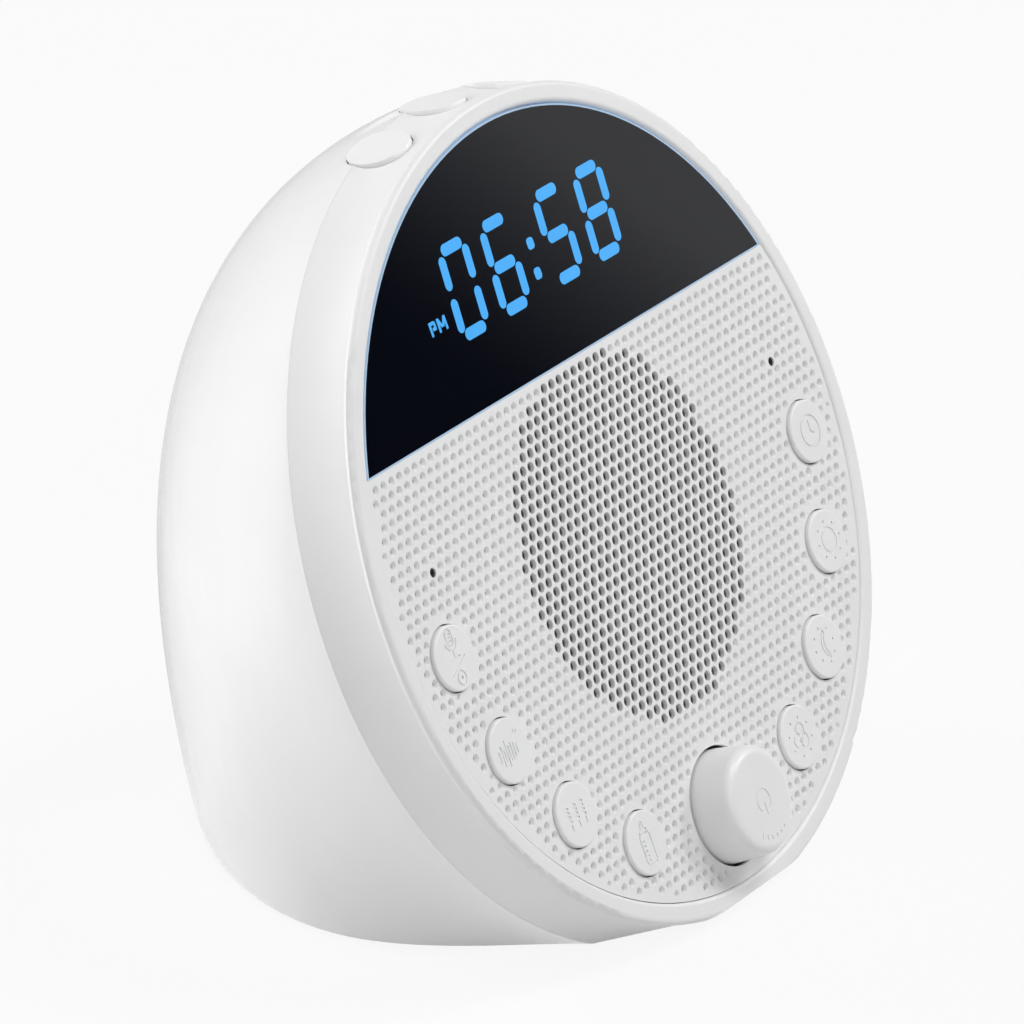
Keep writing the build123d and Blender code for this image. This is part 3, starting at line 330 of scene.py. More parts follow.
# ---------------------------------------------------------------- grille
# The round plate with the holes for the buttons: a satin ABS moulding, 2.5 mm thick, dimpled all
# over on a hexagonal pitch. In front of the speaker it is thinner and has open holes instead.
MM = 0.001
LEAN = math.radians(22.7)
FACE_CENTRE = np.array([0.0, -24.0, 60.6])
FACE_AXES = np.array([
    [1.0, 0.0, 0.0],
    [0.0, math.sin(LEAN), math.cos(LEAN)],
    [0.0, -math.cos(LEAN), math.sin(LEAN)],
])
GRILLE_RADIUS = 61.6
GRILLE_TOP = 22.9
GRILLE_THICKNESS = 2.5
EDGE_BAND = 0.6              # plain band along the rim
HOLE_DEPTH = 1.1
POCKET_RADIUS = 29.5
POCKET_TOP = 22.2
PITCH = 2.15
TOP_ROW = 21.1
ROWS = 60                    # rows, and columns to each side, enough to cover the plate
COLUMNS = 40
DIMPLE_RADIUS = 0.74
SMALLEST_DIMPLE = 0.5        # near an edge the dimples shrink to this radius, and then stop
DIMPLE_GAP = 0.06            # least plain width between a dimple and an edge
DIMPLE_DEPTH = 1.5
BOWL_RINGS = np.array([0.78, 0.52, 0.26])
HOLE_RADIUS = 0.86
LIP = 0.06                   # chamfer at the mouth of an open hole
HOLES_MIDDLE = -5.4
HOLES_RADIUS = 28.55
BUTTON_RING = 52.7
BUTTON_TURNS = {
    "button_record": -172.65, "button_sounds": -153.65,
    "button_nature": -134.7, "button_lullaby": -115.95,
    "button_timer": -7.35, "button_brightness": -26.35,
    "button_night": -45.3, "button_colour": -64.05,
}
BUTTON_HOLE = 5.22
KNOB_PLACE = (0.0, -50.0)
KNOB_HOLE = 9.4
MICROPHONE_PLACES = ((-49.6, 5.9), (49.6, 5.9))
MICROPHONE_HOLE = 0.75
POST_RADIUS = 2.3
POST_BORE = 1.05
POST_START = -2.4            # a little inside the plate
SPEAKER_POST_RING = 32.5
SPEAKER_POST_TURNS = (45, 135, 225, 315)
SPEAKER_POST_END = -4.6
CONTROL_POST_TURNS = (-163.2, -125.3, -54.7, -16.8)
CONTROL_POST_END = -9.0
CELL_SIDES = 12
BUTTON_SIDES = 96
KNOB_SIDES = 144
MICROPHONE_SIDES = 24
POCKET_SIDES = 180
RIM_SIDES = 320
POST_SIDES = 32
HULL = 0                     # the triangulation's output type: triangles over the whole hull
SHEET_EPSILON = 1e-7
SIGN_EPSILON = 1e-5
GLOOM = ((0.04, 1.0), (0.08, 0.14), (0.64, 0.14), (0.76, 1.0))


def on_face(x, y, z):
    """Points given on the face in millimetres, x right, y up the face and z out of it, in metres:
    the face's centre plus x, y and z times its three axes."""
    local = np.stack(np.broadcast_arrays(x, y, z), axis=-1).reshape(-1, 3).astype(float)
    return (FACE_CENTRE + local @ FACE_AXES) * MM


def put_mesh(name, points, quads, triangles, sharp=35.0):
    """Mesh object from whole arrays of points, quads and triangles. Smooth, and split where two
    faces meet at more than sharp degrees. Points that no face uses are left out."""
    quads = np.asarray(quads, int).reshape(-1, 4)
    triangles = np.asarray(triangles, int).reshape(-1, 3)
    corners = np.concatenate([quads.ravel(), triangles.ravel()])
    used, corners = np.unique(corners, return_inverse=True)
    mesh = bpy.data.meshes.new(name)
    mesh.vertices.add(len(used))
    mesh.vertices.foreach_set("co", np.asarray(points, float)[used].astype(np.float32).ravel())
    mesh.loops.add(len(corners))
    mesh.loops.foreach_set("vertex_index", corners.astype(np.int32).ravel())
    starts = np.concatenate([
        np.arange(len(quads)) * 4, len(quads) * 4 + np.arange(len(triangles)) * 3,
    ])
    mesh.polygons.add(len(starts))
    mesh.polygons.foreach_set("loop_start", starts.astype(np.int32))
    mesh.update(calc_edges=True)
    mesh.validate()
    mesh.shade_smooth()
    mesh.set_sharp_from_angle(angle=math.radians(sharp))
    piece = bpy.data.objects.new(name, mesh)
    scene.collection.objects.link(piece)
    return piece


def ring(radius, count):
    """Corners of a regular polygon on a circle of this radius, anticlockwise: x and y arrays."""
    turn = (np.arange(count) + 0.5) / count * 2 * math.pi
    return radius * np.cos(turn), radius * np.sin(turn)


def cut_circle(radius, top, middle, count):
    """Outline of a circle about (0, middle) that is cut off flat at the height top."""
    lift = math.asin((top - middle) / radius)
    turn = np.linspace(math.pi - lift, 2 * math.pi + lift, count)
    return np.stack([radius * np.cos(turn), radius * np.sin(turn) + middle], axis=1)


def bands(rows):
    """Quads between neighbouring rows of points, where each row closes on itself. The rows are
    given as arrays of point numbers, and the surface faces right of the way along them."""
    rows = np.asarray(rows)
    here, there = rows[:-1], rows[1:]
    return np.stack([
        here, there, np.roll(there, -1, axis=-1), np.roll(here, -1, axis=-1),
    ], axis=-1).reshape(-1, 4)


def anticlockwise(points, triangles):
    """The triangles with their corners in anticlockwise order."""
    a, b, c = (points[triangles[:, k]] for k in range(3))
    area = (b[:, 0] - a[:, 0]) * (c[:, 1] - a[:, 1]) - (b[:, 1] - a[:, 1]) * (c[:, 0] - a[:, 0])
    return np.where(area[:, None] > 0, triangles, triangles[:, ::-1])


def weave(loops):
    """Flat sheet inside the last closed outline and outside all others, by constrained Delaunay
    triangulation. Triangles with all three corners on one of the others fill it and are dropped.
    Gives the points, the triangles and the number of each outline's first point."""
    points = np.concatenate(loops)
    sizes = np.array([len(loop) for loop in loops])
    starts = np.concatenate([[0], np.cumsum(sizes)[:-1]])
    owner = np.repeat(np.arange(len(loops)), sizes)
    index = np.arange(len(points))
    following = np.where(index == (starts + sizes - 1)[owner], starts[owner], index + 1)
    _, _, faces, sources, _, _ = delaunay_2d_cdt(
        [Vector(point) for point in points.tolist()],
        np.stack([index, following], axis=1).tolist(), [], HULL, SHEET_EPSILON, True,
    )
    origin = np.array([source[0] for source in sources])
    triangles = origin[np.array(faces)]
    first, second, third = owner[triangles].T
    filling = (first == second) & (second == third) & (first != len(loops) - 1)
    return points, anticlockwise(points, triangles[~filling]), starts


# A cell on each point of the pitch that leaves room for it. The open ones come first.
row, column = np.meshgrid(np.arange(ROWS), np.arange(-COLUMNS, COLUMNS + 1), indexing="ij")
cell_x = ((column + 0.5 * (row % 2)) * PITCH).ravel()
cell_y = (TOP_ROW - row * PITCH * math.sqrt(3) / 2).ravel()
button_turns = np.radians(list(BUTTON_TURNS.values()))
button_places = BUTTON_RING * np.stack([np.cos(button_turns), np.sin(button_turns)], axis=1)
mouths = [(place, BUTTON_HOLE, BUTTON_SIDES) for place in button_places]
mouths += [(KNOB_PLACE, KNOB_HOLE, KNOB_SIDES)]
mouths += [(place, MICROPHONE_HOLE, MICROPHONE_SIDES) for place in MICROPHONE_PLACES]
clear = np.minimum(GRILLE_RADIUS - EDGE_BAND - np.hypot(cell_x, cell_y), GRILLE_TOP - cell_y)
for place, radius, _ in mouths:
    clear = np.minimum(clear, np.hypot(cell_x - place[0], cell_y - place[1]) - radius)
room = clear >= SMALLEST_DIMPLE + DIMPLE_GAP
cells = np.stack([cell_x, cell_y], axis=1)[room]
reach = np.minimum(DIMPLE_RADIUS, clear[room] - DIMPLE_GAP)
through = np.hypot(cells[:, 0], cells[:, 1] - HOLES_MIDDLE) <= HOLES_RADIUS
cells = np.concatenate([cells[through], cells[~through]])
reach = np.concatenate([np.full(through.sum(), HOLE_RADIUS), reach[~through]])
open_count, cell_count = int(through.sum()), len(cells)

cell_loops = [
    np.stack(ring(radius, CELL_SIDES), axis=1) + cell for cell, radius in zip(cells, reach)
]
bore_loops = [
    np.stack(ring(HOLE_RADIUS - LIP, CELL_SIDES), axis=1) + cell for cell in cells[:open_count]
]
mouth_loops = [np.stack(ring(radius, count), axis=1) + place for place, radius, count in mouths]
rim_loop = cut_circle(GRILLE_RADIUS, GRILLE_TOP, 0.0, RIM_SIDES)

front, sheet, starts = weave(cell_loops + mouth_loops + [rim_loop])
grille_points = [on_face(front[:, 0], front[:, 1], 0.0)]
grille_triangles = [sheet]
grille_quads = []
total = len(front)

# Closed dimples: a bowl of three rings and a middle point that leaves the plate without an edge,
# z = -depth (1 + cos(pi r / R)) / 2.
closed = cells[open_count:]
bowls = BOWL_RINGS[None, :, None]
size = reach[open_count:]
depth = DIMPLE_DEPTH * size / DIMPLE_RADIUS
spread = size[:, None, None] * bowls
ring_x, ring_y = ring(1.0, CELL_SIDES)
bowl_x = closed[:, 0, None, None] + spread * ring_x
bowl_y = closed[:, 1, None, None] + spread * ring_y
bowl_z = -depth[:, None, None] * (1 + np.cos(math.pi * bowls)) / 2
grille_points += [on_face(bowl_x, bowl_y, bowl_z), on_face(closed[:, 0], closed[:, 1], -depth)]
top_row = starts[open_count:cell_count, None] + np.arange(CELL_SIDES)
lower = total + np.arange(bowl_x.size).reshape(bowl_x.shape)
middle = total + bowl_x.size + np.arange(len(closed))
total += bowl_x.size + len(closed)
grille_quads.append(bands([top_row, lower[:, 0], lower[:, 1], lower[:, 2]]))
last = lower[:, 2]
grille_triangles.append(np.stack([
    last, np.broadcast_to(middle[:, None], last.shape), np.roll(last, -1, axis=1),
], axis=-1).reshape(-1, 3))

# Open holes with straight walls down to a pocket in the back, where the plate is thin.
pocket_loop = cut_circle(POCKET_RADIUS, POCKET_TOP, HOLES_MIDDLE, POCKET_SIDES)
thin, thin_sheet, thin_starts = weave(bore_loops + [pocket_loop])
grille_points.append(on_face(thin[:, 0], thin[:, 1], -HOLE_DEPTH))
grille_triangles.append(total + thin_sheet[:, ::-1])
front_rows = starts[:open_count, None] + np.arange(CELL_SIDES)
thin_rows = total + thin_starts[:open_count, None] + np.arange(CELL_SIDES)
lip_rows = total + len(thin) + np.arange(open_count * CELL_SIDES).reshape(-1, CELL_SIDES)
ring_x, ring_y = ring(HOLE_RADIUS - LIP, CELL_SIDES)
grille_points.append(on_face(
    cells[:open_count, 0, None] + ring_x, cells[:open_count, 1, None] + ring_y, -LIP,
))
grille_quads.append(bands([front_rows, lip_rows, thin_rows]))
pocket_top = total + thin_starts[-1] + np.arange(len(pocket_loop))
total += len(thin) + open_count * CELL_SIDES

# The back, the pocket's wall, the rim, and the mouths for the buttons, knob and microphones.
back, back_sheet, back_starts = weave([pocket_loop] + mouth_loops + [rim_loop])
grille_points.append(on_face(back[:, 0], back[:, 1], -GRILLE_THICKNESS))
grille_triangles.append(total + back_sheet[:, ::-1])
pocket_foot = total + back_starts[0] + np.arange(len(pocket_loop))
grille_quads.append(bands([pocket_top, pocket_foot]))
for number, (_, _, count) in enumerate(mouths):
    front_row = starts[cell_count + number] + np.arange(count)
    back_row = total + back_starts[1 + number] + np.arange(count)
    grille_quads.append(bands([front_row, back_row]))
front_row = starts[-1] + np.arange(len(rim_loop))
back_row = total + back_starts[-1] + np.arange(len(rim_loop))
grille_quads.append(bands([back_row, front_row]))
total += len(back)

# Screw posts on the back, each a closed tube turned about its own middle.
posts = [
    (SPEAKER_POST_RING, HOLES_MIDDLE, turn, SPEAKER_POST_END) for turn in SPEAKER_POST_TURNS
]
posts += [(BUTTON_RING, 0.0, turn, CONTROL_POST_END) for turn in CONTROL_POST_TURNS]
ring_x, ring_y = ring(1.0, POST_SIDES)
radii = np.array([POST_BORE, POST_RADIUS, POST_RADIUS, POST_BORE])[:, None]
for distance, height, turn, end in posts:
    x = distance * math.cos(math.radians(turn))
    y = height + distance * math.sin(math.radians(turn))
    levels = np.array([POST_START, POST_START, end, end])[:, None]
    grille_points.append(on_face(x + radii * ring_x, y + radii * ring_y, levels))
    rows = total + np.arange(4 * POST_SIDES).reshape(4, POST_SIDES)
    grille_quads.append(bands(np.concatenate([rows, rows[:1]])))
    total += 4 * POST_SIDES

grille = put_mesh(
    "dimpled_grille", np.concatenate(grille_points), np.concatenate(grille_quads),
    np.concatenate(grille_triangles), sharp=40.0,
)
grille_white = plastic("grille_white", (0.83, 0.83, 0.835), 0.45, grain=0.2)
# Little light comes back out of the dimples and holes, so the white darkens with depth below the
# face, from 0.6 mm to 0.9 mm down, and is plain again at the back of the plate. GLOOM gives the
# grey at heights above the back, as shares of the thickness.
nodes, links = grille_white.node_tree.nodes, grille_white.node_tree.links
paint = nodes["Principled BSDF"].inputs["Base Color"]
place = nodes.new("ShaderNodeTexCoord").outputs["Object"]
height = along(nodes, links, place, FACE_AXES[2])
face_level = float(FACE_CENTRE @ FACE_AXES[2]) * MM
plate_levels = (face_level - GRILLE_THICKNESS * MM, face_level)
gloom = nodes.new("ShaderNodeValToRGB")
for spot, grey in GLOOM:
    stop = gloom.color_ramp.elements.new(spot)
    stop.color = (grey, grey, grey, 1)
gloom.color_ramp.elements[0].color = WHITE
shadow = nodes.new("ShaderNodeVectorMath")
shadow.operation = "MULTIPLY"
links.new(ranged(nodes, links, height, plate_levels), gloom.inputs[0])
links.new(paint.links[0].from_socket, shadow.inputs[0])
links.new(gloom.outputs[0], shadow.inputs[1])
links.new(shadow.outputs[0], paint)
grille.data.materials.append(grille_white)
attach(grille, "body")
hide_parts("grille_disc")

# ---------------------------------------------------------------- speaker behind the grille
# A round driver with its foam gasket: pressed steel basket in black paint, paper cone with a rubber
# surround, resin treated spider and a ferrite magnet. Charcoal cloth keeps dust off it.
WAVE_LENGTH = 0.314          # length of one wave of the wave texture at scale 1
THREAD_DEPTH = 0.4           # height of a thread as a share of the thread's pitch
BRUSH_SCALE = 1500
BRUSH_STRENGTH = 0.15
BRUSH_DEPTH = 0.00003


def woven(name, colour, thread, depth):
    """Plain woven cloth: two waves at right angles, one thread long, make the bump where they
    cross, and the crossings are lighter than the gaps: painted light on the crossings and painted
    shade in the gaps."""
    material, nodes, links, inputs, place = surface(name, Roughness=0.85, Sheen_Weight=0.2)
    threads = []
    for direction in ("X", "Z"):
        wave = nodes.new("ShaderNodeTexWave")
        wave.bands_direction = direction
        wave.inputs["Scale"].default_value = WAVE_LENGTH / thread
        links.new(place, wave.inputs["Vector"])
        threads.append(wave.outputs["Fac"])
    cross = maths(nodes, links, "MULTIPLY", *threads)
    # painted shade in the gaps between threads, painted light on the crossings
    links.new(tinted(nodes, links, cross, colour, gains=(0.55, 1.25)), inputs["Base Color"])
    links.new(bumped(nodes, links, cross, depth, thread * THREAD_DEPTH), inputs["Normal"])
    return material


def metal(name, colour, roughness, stretch):
    """Bare metal: a noise stretched along the height is the brushing, in roughness and bump."""
    material, nodes, links, inputs, place = surface(name, Metallic=1.0)
    squeeze = nodes.new("ShaderNodeMapping")
    squeeze.inputs["Scale"].default_value = (1, 1, stretch)
    links.new(place, squeeze.inputs["Vector"])
    brush = noise(nodes, links, squeeze.outputs[0], BRUSH_SCALE)
    tint = tinted(nodes, links, brush, colour, gains=(0.85, 1.08))
    spread = ranged(nodes, links, brush, (0, 1), (roughness * 0.75, roughness * 1.25))
    links.new(tint, inputs["Base Color"])
    links.new(spread, inputs["Roughness"])
    links.new(bumped(nodes, links, brush, BRUSH_STRENGTH, BRUSH_DEPTH), inputs["Normal"])
    return material


dress(woven("charcoal_cloth", (0.02, 0.02, 0.022), 0.0004, 0.8), "cloth_dark", "grille_cloth")
dress(plastic("foam_rubber", (0.04, 0.04, 0.04), 0.8, grain=0.9, grain_size=0.0006),
      "foam_dark", "speaker_gasket", "speaker_surround", "microphone_boots")
dress(plastic("painted_basket", (0.1, 0.1, 0.11), 0.35, grain=0.3, grain_size=0.0005),
      "speaker_steel", "speaker_frame")
dress(plastic("ferrite", (0.14, 0.14, 0.15), 0.55, grain=0.6, grain_size=0.0004),
      "magnet_ferrite", "speaker_magnet")
dress(plastic("pressed_paper", (0.07, 0.07, 0.07), 0.9, grain=0.8, grain_size=0.0007),
      "cone_paper", "speaker_cone")
dress(woven("resin_cloth", (0.55, 0.38, 0.16), 0.0005, 0.7), "spider_cloth", "speaker_spider")
screw_zinc = metal("screw_zinc", (0.55, 0.55, 0.56), 0.35, 0.3)
dress(screw_zinc, "screw_steel", "speaker_screws")
dress(metal("microphone_can", (0.68, 0.68, 0.68), 0.3, 0.3), "cell_steel", "microphones")

# ---------------------------------------------------------------- clock display
# A black acrylic window let in flush above the grille. The figures are openings in it, filled by
# a blue lit guide, and a hair-thin clear edge round the window glows pale blue: light from the
# guide, and with it a painted highlight along the window's edge.
GLOW_DRIFT_SCALE = 180.0


def lit(name, colour, strength, base, patchy):
    """Lit plastic: its glow drifts a little from lamp to lamp behind it, over a glossy surface."""
    material, nodes, links, inputs, place = surface(
        name, Base_Color=(*base, 1), Roughness=0.25, Emission_Strength=strength,
    )
    drift = noise(nodes, links, place, GLOW_DRIFT_SCALE)
    gains = (1 - patchy, 1 + patchy)
    tint = tinted(nodes, links, drift, colour, gains, spots=(0.3, 0.7))
    links.new(tint, inputs["Emission Color"])
    return material


dress(plastic("smoked_window", (0.003, 0.0037, 0.0075), 0.06), "window_gloss", "display_window")
dress(lit("blue_figures", (0.065, 0.42, 0.94), 0.95, (0.01, 0.03, 0.06), 0.03),
      "figures_lit", "light_guide")
# the edge's glow is partly a painted highlight along the window's edge
dress(lit("edge_glow_and_highlight", (0.42, 0.6, 0.85), 0.34, (0.3, 0.4, 0.5), 0.06), "line_clear", "light_line")
dress(plastic("led_reflector", (0.8, 0.8, 0.78), 0.5, grain=0.2), "led_white", "led_block")

# ---------------------------------------------------------------- face buttons
# Eight round satin caps that stand 0.75 mm proud of the grille, each with its sign engraved. A wide
# flange behind the grille keeps the cap in, and its stem works a switch on the board behind.
CAP_RADIUS = 5.0
CAP_PROUD = 0.75
CAP_ROUND = 0.3
CAP_BEND_POINTS = 7
FLANGE_RADIUS = 5.9
FLANGE_FRONT = -2.8
FLANGE_BACK = -3.8
STEM_RADIUS = 1.8
STEM_END = -6.4
CUT_DEPTH = 0.22
LINE = 0.3
THIN = 0.26
SPOT = 0.23                  # radius of the small dots round a sign
MITRE_LIMIT = 2.5            # most that a stroke is lengthened at a sharp corner


def ribbon(path, width, closed=False):
    """Outline quads of a stroke of this width along a path: each point moves sideways by half the
    width along the mean of its two neighbouring normals, lengthened to keep the width."""
    path = np.asarray(path, float)
    if closed:
        before, after = np.roll(path, 1, axis=0), np.roll(path, -1, axis=0)
    else:
        before = np.concatenate([2 * path[:1] - path[1:2], path[:-1]])
        after = np.concatenate([path[1:], 2 * path[-1:] - path[-2:-1]])
    first = path - before
    second = after - path
    first /= np.linalg.norm(first, axis=1, keepdims=True)
    second /= np.linalg.norm(second, axis=1, keepdims=True)
    side = np.stack([-(first + second)[:, 1], (first + second)[:, 0]], axis=1)
    side /= np.linalg.norm(side, axis=1, keepdims=True)
    square = np.stack([-first[:, 1], first[:, 0]], axis=1)
    side /= np.maximum((side * square).sum(1, keepdims=True), 1 / MITRE_LIMIT)
    left, right = path + side * width / 2, path - side * width / 2
    if closed:
        left, right = np.concatenate([left, left[:1]]), np.concatenate([right, right[:1]])
    return np.stack([right[:-1], right[1:], left[1:], left[:-1]], axis=1)


def arc(centre, radius, start, end, count):
    """Points on an arc from angle start to end, in degrees."""
    turn = np.radians(np.linspace(start, end, count))
    return np.stack([centre[0] + radius * np.cos(turn), centre[1] + radius * np.sin(turn)], axis=1)


def circle(centre, radius, count=28):
    """Points once round a circle, for a closed stroke."""
    return arc(centre, radius, 0, 360, count + 1)[:-1]


def dot(centre, radius, count=8):
    """A filled spot, as one closed outline."""
    return circle(centre, radius, count)


def engraved_disc(radius, sides, strokes, dots, depth):
    """Flat disc with strokes and dots sunk into it. The outlines go through a constrained Delaunay
    triangulation, the triangles inside a stroke go down by depth, and walls join the two levels.
    Gives the points, their levels, triangles and quads. The first points are the disc's rim."""
    points = [np.stack(ring(radius, sides), axis=1)]
    faces = []
    size = sides
    for quads in strokes:
        faces += (size + np.arange(len(quads) * 4).reshape(-1, 4)).tolist()
        points.append(quads.reshape(-1, 2))
        size += len(quads) * 4
    for spot in dots:
        faces.append((size + np.arange(len(spot))).tolist())
        points.append(spot)
        size += len(spot)
    rim_edges = np.stack([np.arange(sides), (np.arange(sides) + 1) % sides], axis=1).tolist()
    flat, _, triangles, sources, _, origins = delaunay_2d_cdt(
        [Vector(point) for point in np.concatenate(points).tolist()],
        rim_edges, faces, HULL, SIGN_EPSILON, True,
    )
    assert all(number in source for number, source in enumerate(sources[:sides]))
    flat = np.array([tuple(point) for point in flat])
    triangles = anticlockwise(flat, np.array(triangles))
    sunk = np.array([len(origin) > 0 for origin in origins])
    count = len(flat)
    edges = np.stack([triangles, np.roll(triangles, -1, axis=1)], axis=-1)
    keys = edges[..., 0] * count + edges[..., 1]
    back_keys = edges[..., 1] * count + edges[..., 0]
    shore = np.isin(back_keys[sunk], keys[~sunk].ravel())
    ends = edges[sunk][shore]
    walls = np.stack([ends[:, 0], ends[:, 1], ends[:, 1] + count, ends[:, 0] + count], axis=1)
    levels = np.concatenate([np.zeros(count), np.full(count, -depth)])
    sheet = np.where(sunk[:, None], triangles + count, triangles)
    return np.concatenate([flat, flat]), levels, sheet, walls[:, ::-1]


def turned_cap(name, place, sides, strokes, dots, depth, profile):
    """Cap turned about a line square to the face: an engraved flat top, then the profile of
    (radius, height) from the top's rim down to the last point, which is closed with a fan."""
    radius, top = profile[0]
    flat, levels, sheet, walls = engraved_disc(radius, sides, strokes, dots, depth)
    radii, heights = np.array(profile[1:]).T[:, :, None]
    rim_x, rim_y = ring(1.0, sides)
    points = [
        on_face(place[0] + flat[:, 0], place[1] + flat[:, 1], top + levels),
        on_face(place[0] + radii * rim_x, place[1] + radii * rim_y, heights),
        on_face(place[0], place[1], heights[-1]),
    ]
    foot = len(flat) + len(radii) * sides
    rows = np.concatenate([
        np.arange(sides)[None], np.arange(len(flat), foot).reshape(-1, sides),
    ])
    fan = np.stack([rows[-1], np.full(sides, foot), np.roll(rows[-1], -1)], axis=1)
    quads = np.concatenate([walls, bands(rows)[:, ::-1]])
    return put_mesh(name, np.concatenate(points), quads, np.concatenate([sheet, fan]))


signs = {}
signs["button_record"] = (
    [
        ribbon(
            np.concatenate([
                arc((-0.07, 3.6), 0.82, 0, 180, 10), arc((-0.07, 2.7), 0.82, 180, 360, 10),
            ]),
            THIN, closed=True,
        ),
    ] + [
        ribbon([(-0.6, y), (0.45, y)], 0.2) for y in (3.64, 3.15, 2.6)
    ] + [
        ribbon(arc((-0.07, 2.66), 1.45, 180, 360, 16), THIN),
        ribbon([(-0.07, 1.2), (-0.07, 0.05)], THIN),
        ribbon([(-1.4, 0.0), (1.27, 0.0)], THIN),
        ribbon([(-2.25, -2.27), (2.35, -0.23)], THIN),
        ribbon(circle((-0.1, -3.15), 1.05), THIN, closed=True),
    ],
    [dot((-0.1, -3.15), 0.36)],
)
signs["button_sounds"] = (
    [
        ribbon([(x, high), (x, low)], LINE)
        for x, high, low in (
            (-2.99, 0.7, -1.06), (-2.25, 1.39, -1.84), (-1.66, 0.6, -1.25), (-1.02, 1.88, -2.23),
            (-0.39, 1.0, -1.45), (0.25, 1.2, -1.55), (0.94, 0.9, -1.25), (1.66, 0.5, -0.86),
        )
    ] + [
        ribbon([(1.08, 2.05), (1.7, 1.95), (2.84, 2.3)], THIN),
        ribbon([(2.0, 2.05), (2.0, 2.75)], THIN),
    ],
    [],
)
signs["button_nature"] = (
    [
        ribbon([(x - 0.42, y + 0.14), (x + 0.42, y - 0.14)], 0.4)
        for x in (-2.15, -0.1, 1.76) for y in (1.6, 0.93, 0.26, -0.41)
    ] + [
        ribbon([(x, -0.9), (x, -2.0)], LINE) for x in (-2.15, -0.1, 1.76)
    ],
    [],
)
signs["button_lullaby"] = (
    [
        ribbon(
            [
                (1.14, 1.15), (1.14, -2.85), (0.8, -3.25), (-1.23, -3.25), (-1.57, -2.85),
                (-1.57, 1.15), (-1.2, 1.6), (-1.2, 2.1), (-0.62, 2.3), (-0.52, 2.85),
                (-0.45, 3.35), (0.02, 3.35), (0.09, 2.85), (0.19, 2.3), (0.77, 2.1), (0.77, 1.6),
            ],
            THIN, closed=True,
        ),
        ribbon([(-1.0, 1.55), (0.57, 1.55)], THIN),
    ] + [
        ribbon([(-1.4, y), (-0.5, y)], THIN) for y in (0.4, -0.35, -1.1, -1.85, -2.6)
    ],
    [],
)
signs["button_timer"] = (
    [
        ribbon(circle((0.15, -0.03), 2.5, 40), LINE, closed=True),
        ribbon([(0.2, 1.68), (0.2, -0.18), (0.98, -0.57)], LINE),
    ],
    [],
)
signs["button_brightness"] = (
    [ribbon(circle((0.3, 0.05), 1.95, 36), LINE, closed=True)],
    [dot(spot, SPOT) for spot in circle((0.3, 0.05), 3.03, 8)],
)
signs["button_night"] = (
    [
        ribbon(
            np.concatenate([
                arc((1.75, 0.2), 2.46, 118, 242, 22), arc((2.6, 0.2), 2.5, 225, 135, 18),
            ]),
            LINE, closed=True,
        ),
    ],
    [
        dot(spot, SPOT)
        for spot in (
            (-0.29, 3.05), (1.76, 2.37), (-2.1, 1.94), (-2.74, 0.02),
            (2.64, 0.4), (-1.76, -1.74), (2.05, -1.55), (0.29, -2.58),
        )
    ],
)
signs["button_colour"] = (
    [
        ribbon(circle(spot, 1.08, 24), LINE, closed=True)
        for spot in ((0.29, 1.05), (-0.95, -0.35), (0.72, -0.76))
    ],
    [dot(spot, SPOT) for spot in arc((0, 0), 3.03, 29, 389, 9)[:-1]],
)

bend = np.linspace(0, math.pi / 2, CAP_BEND_POINTS)
cap_profile = list(zip(
    CAP_RADIUS - CAP_ROUND + CAP_ROUND * np.sin(bend),
    CAP_PROUD - CAP_ROUND + CAP_ROUND * np.cos(bend),
))
cap_profile += [
    (CAP_RADIUS, FLANGE_FRONT), (FLANGE_RADIUS, FLANGE_FRONT), (FLANGE_RADIUS, FLANGE_BACK),
    (STEM_RADIUS, FLANGE_BACK), (STEM_RADIUS, STEM_END),
]
button_white = plastic("button_white", (0.85, 0.85, 0.855), 0.4, grain=0.15)
for button, place in zip(BUTTON_TURNS, button_places):
    strokes, dots = signs[button]
    cap = turned_cap(button + "_cap", place, BUTTON_SIDES, strokes, dots, CUT_DEPTH, cap_profile)
    cap.data.materials.append(button_white)
    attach(cap, button)
    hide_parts(button)

# ---------------------------------------------------------------- volume knob
# A hollow satin cap with a slight draft and a soft rim, pressed on the D shaped encoder shaft. The
# top is engraved with the on and off sign and with a row of growing ticks for louder.
KNOB_TOP = 6.9
KNOB_BASE = 8.9
KNOB_FOOT = -1.6
KNOB_ROUND = 1.7
KNOB_FLAT = 6.795            # radius of the flat top
KNOB_SWEEP = 85.6            # how far round the soft rim goes, in degrees
KNOB_WALL = ((7.5, KNOB_FOOT), (7.1, 5.3))
KNOB_HUB = ((4.8, 5.3), (4.8, KNOB_FOOT), (3.02, KNOB_FOOT), (3.02, 5.0))
KNOB_BEND_POINTS = 11
KNOB_CUT = 0.15
TICK_COUNT = 6
TICK_RING = 6.4
TICK_TURNS = (-62, -122)
TICK_LENGTHS = (0.3, 0.95)
TICK_WIDTH = 0.28
knob_bend = np.linspace(0, 1, KNOB_BEND_POINTS) * math.radians(KNOB_SWEEP)
knob_profile = list(zip(
    KNOB_FLAT + KNOB_ROUND * np.sin(knob_bend),
    KNOB_TOP - KNOB_ROUND + KNOB_ROUND * np.cos(knob_bend),
))
knob_profile += [(KNOB_BASE, 0.0), (KNOB_BASE, KNOB_FOOT), *KNOB_WALL, *KNOB_HUB]
knob_strokes = [
    ribbon(arc((0, -0.3), 1.75, -50, 230, 30), LINE),
    ribbon([(0, -0.6), (0, -2.6)], LINE),
]
tick_turns = np.radians(np.linspace(*TICK_TURNS, TICK_COUNT))
for turn, length in zip(tick_turns, np.linspace(*TICK_LENGTHS, TICK_COUNT)):
    out = np.array([math.cos(turn), math.sin(turn)])
    knob_strokes.append(ribbon([out * TICK_RING, out * (TICK_RING - length)], TICK_WIDTH))
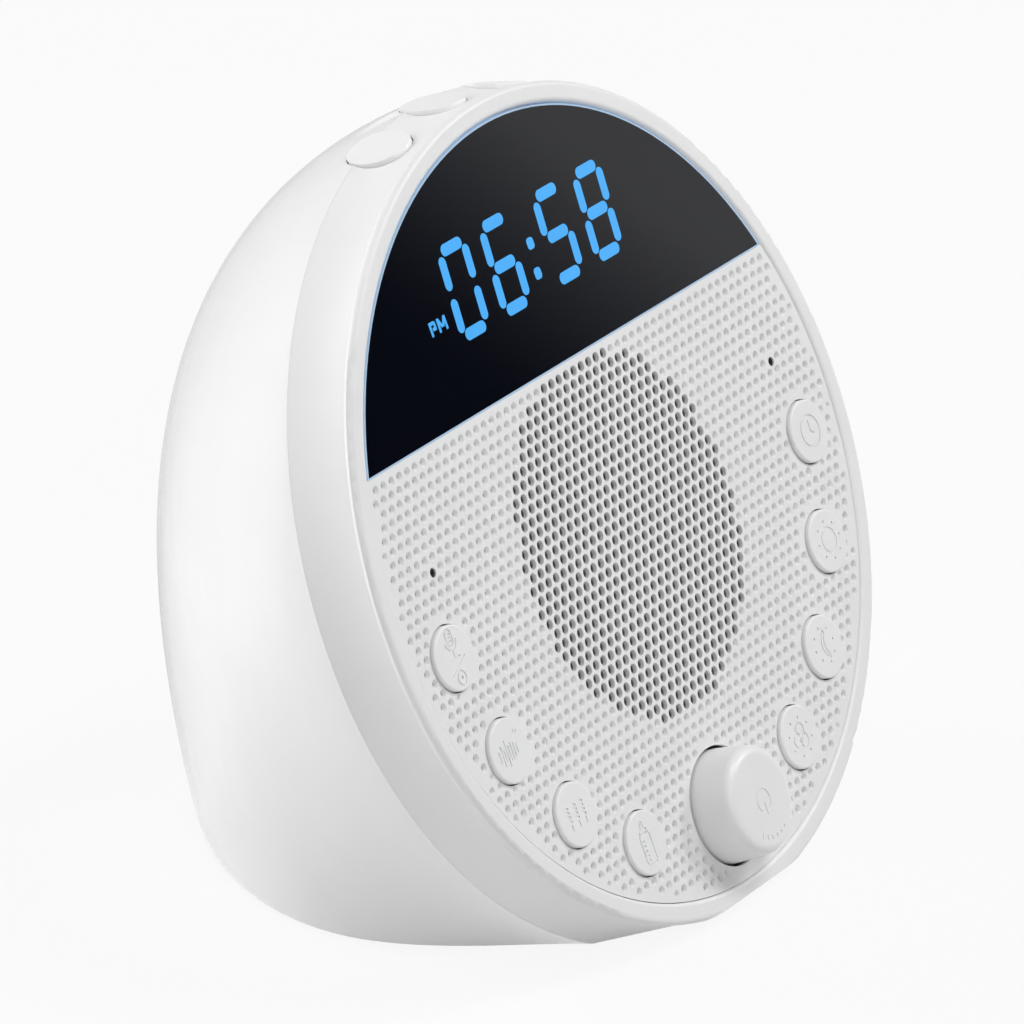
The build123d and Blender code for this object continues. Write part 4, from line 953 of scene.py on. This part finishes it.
knob = turned_cap(
    "volume_knob_cap", KNOB_PLACE, KNOB_SIDES, knob_strokes, [], KNOB_CUT, knob_profile,
)
knob_white = plastic("knob_white", (0.85, 0.85, 0.855), 0.33, grain=0.08)
knob.data.materials.append(knob_white)
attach(knob, "knob")
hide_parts("volume_knob")

# ---------------------------------------------------------------- top buttons
# Three keys let in across the seam at the top. Each is cut from the same curve as the shells and
# stands a little proud, over a film switch strip on a bracket.
dress(button_white, "button_satin", "top_button_left", "top_button_middle", "top_button_right")
dress(plastic("amber_film", (0.62, 0.33, 0.05), 0.2), "film_amber", "top_film")

# ---------------------------------------------------------------- base
# A dark plate closes the bottom, with four screws, and a black rubber pad lies under it. The
# bracket and the night light's frame share the plate's plastic, and all screws the same zinc.
dress(plastic("plate_black", (0.12, 0.12, 0.13), 0.5, grain=0.5, grain_size=0.0005),
      "plate_plastic", "base_plate", "top_bracket", "night_frame")
dress(plastic("pad_rubber", (0.03, 0.03, 0.03), 0.75, grain=0.8, grain_size=0.0008),
      "pad_rubber", "base_pad")
dress(screw_zinc, "screw_steel", "base_screws", "display_screws", "control_screws",
      "bracket_screws", "main_screws", "night_screws")

# ---------------------------------------------------------------- boards and the parts on them
# Green laminate boards with their switches, encoder, chips, capacitors, cell, socket and lamps.
dress(plastic("board_green", (0.03, 0.2, 0.09), 0.35, grain=0.3, grain_size=0.0012),
      "board_green", "display_board", "control_board", "main_board", "night_board")
dress(plastic("chip_epoxy", (0.03, 0.03, 0.03), 0.5, grain=0.5, grain_size=0.0003),
      "chip_black", "board_chips", "face_switches", "top_switches", "cell_holder")
dress(plastic("ivory_nylon", (0.8, 0.76, 0.62), 0.5, grain=0.2), "plug_ivory",
      "board_plugs", "encoder_sleeve")
dress(metal("capacitor_can", (0.35, 0.36, 0.38), 0.3, 0.2), "capacitor_sleeve", "board_capacitors")
dress(metal("cell_steel", (0.68, 0.68, 0.68), 0.25, 0.2), "cell_steel", "coin_cell")
dress(metal("socket_steel", (0.6, 0.6, 0.62), 0.25, 0.2), "socket_steel", "power_socket")
dress(metal("encoder_steel", (0.5, 0.5, 0.51), 0.3, 0.2),
      "encoder_steel", "encoder_body", "encoder_shaft")
dress(plastic("led_lens", (0.92, 0.88, 0.7), 0.2), "led_lens", "night_leds")
dress(plastic("cable_jacket", (0.78, 0.78, 0.8), 0.45, grain=0.2), "cable_white",
      "display_cable", "control_cable")
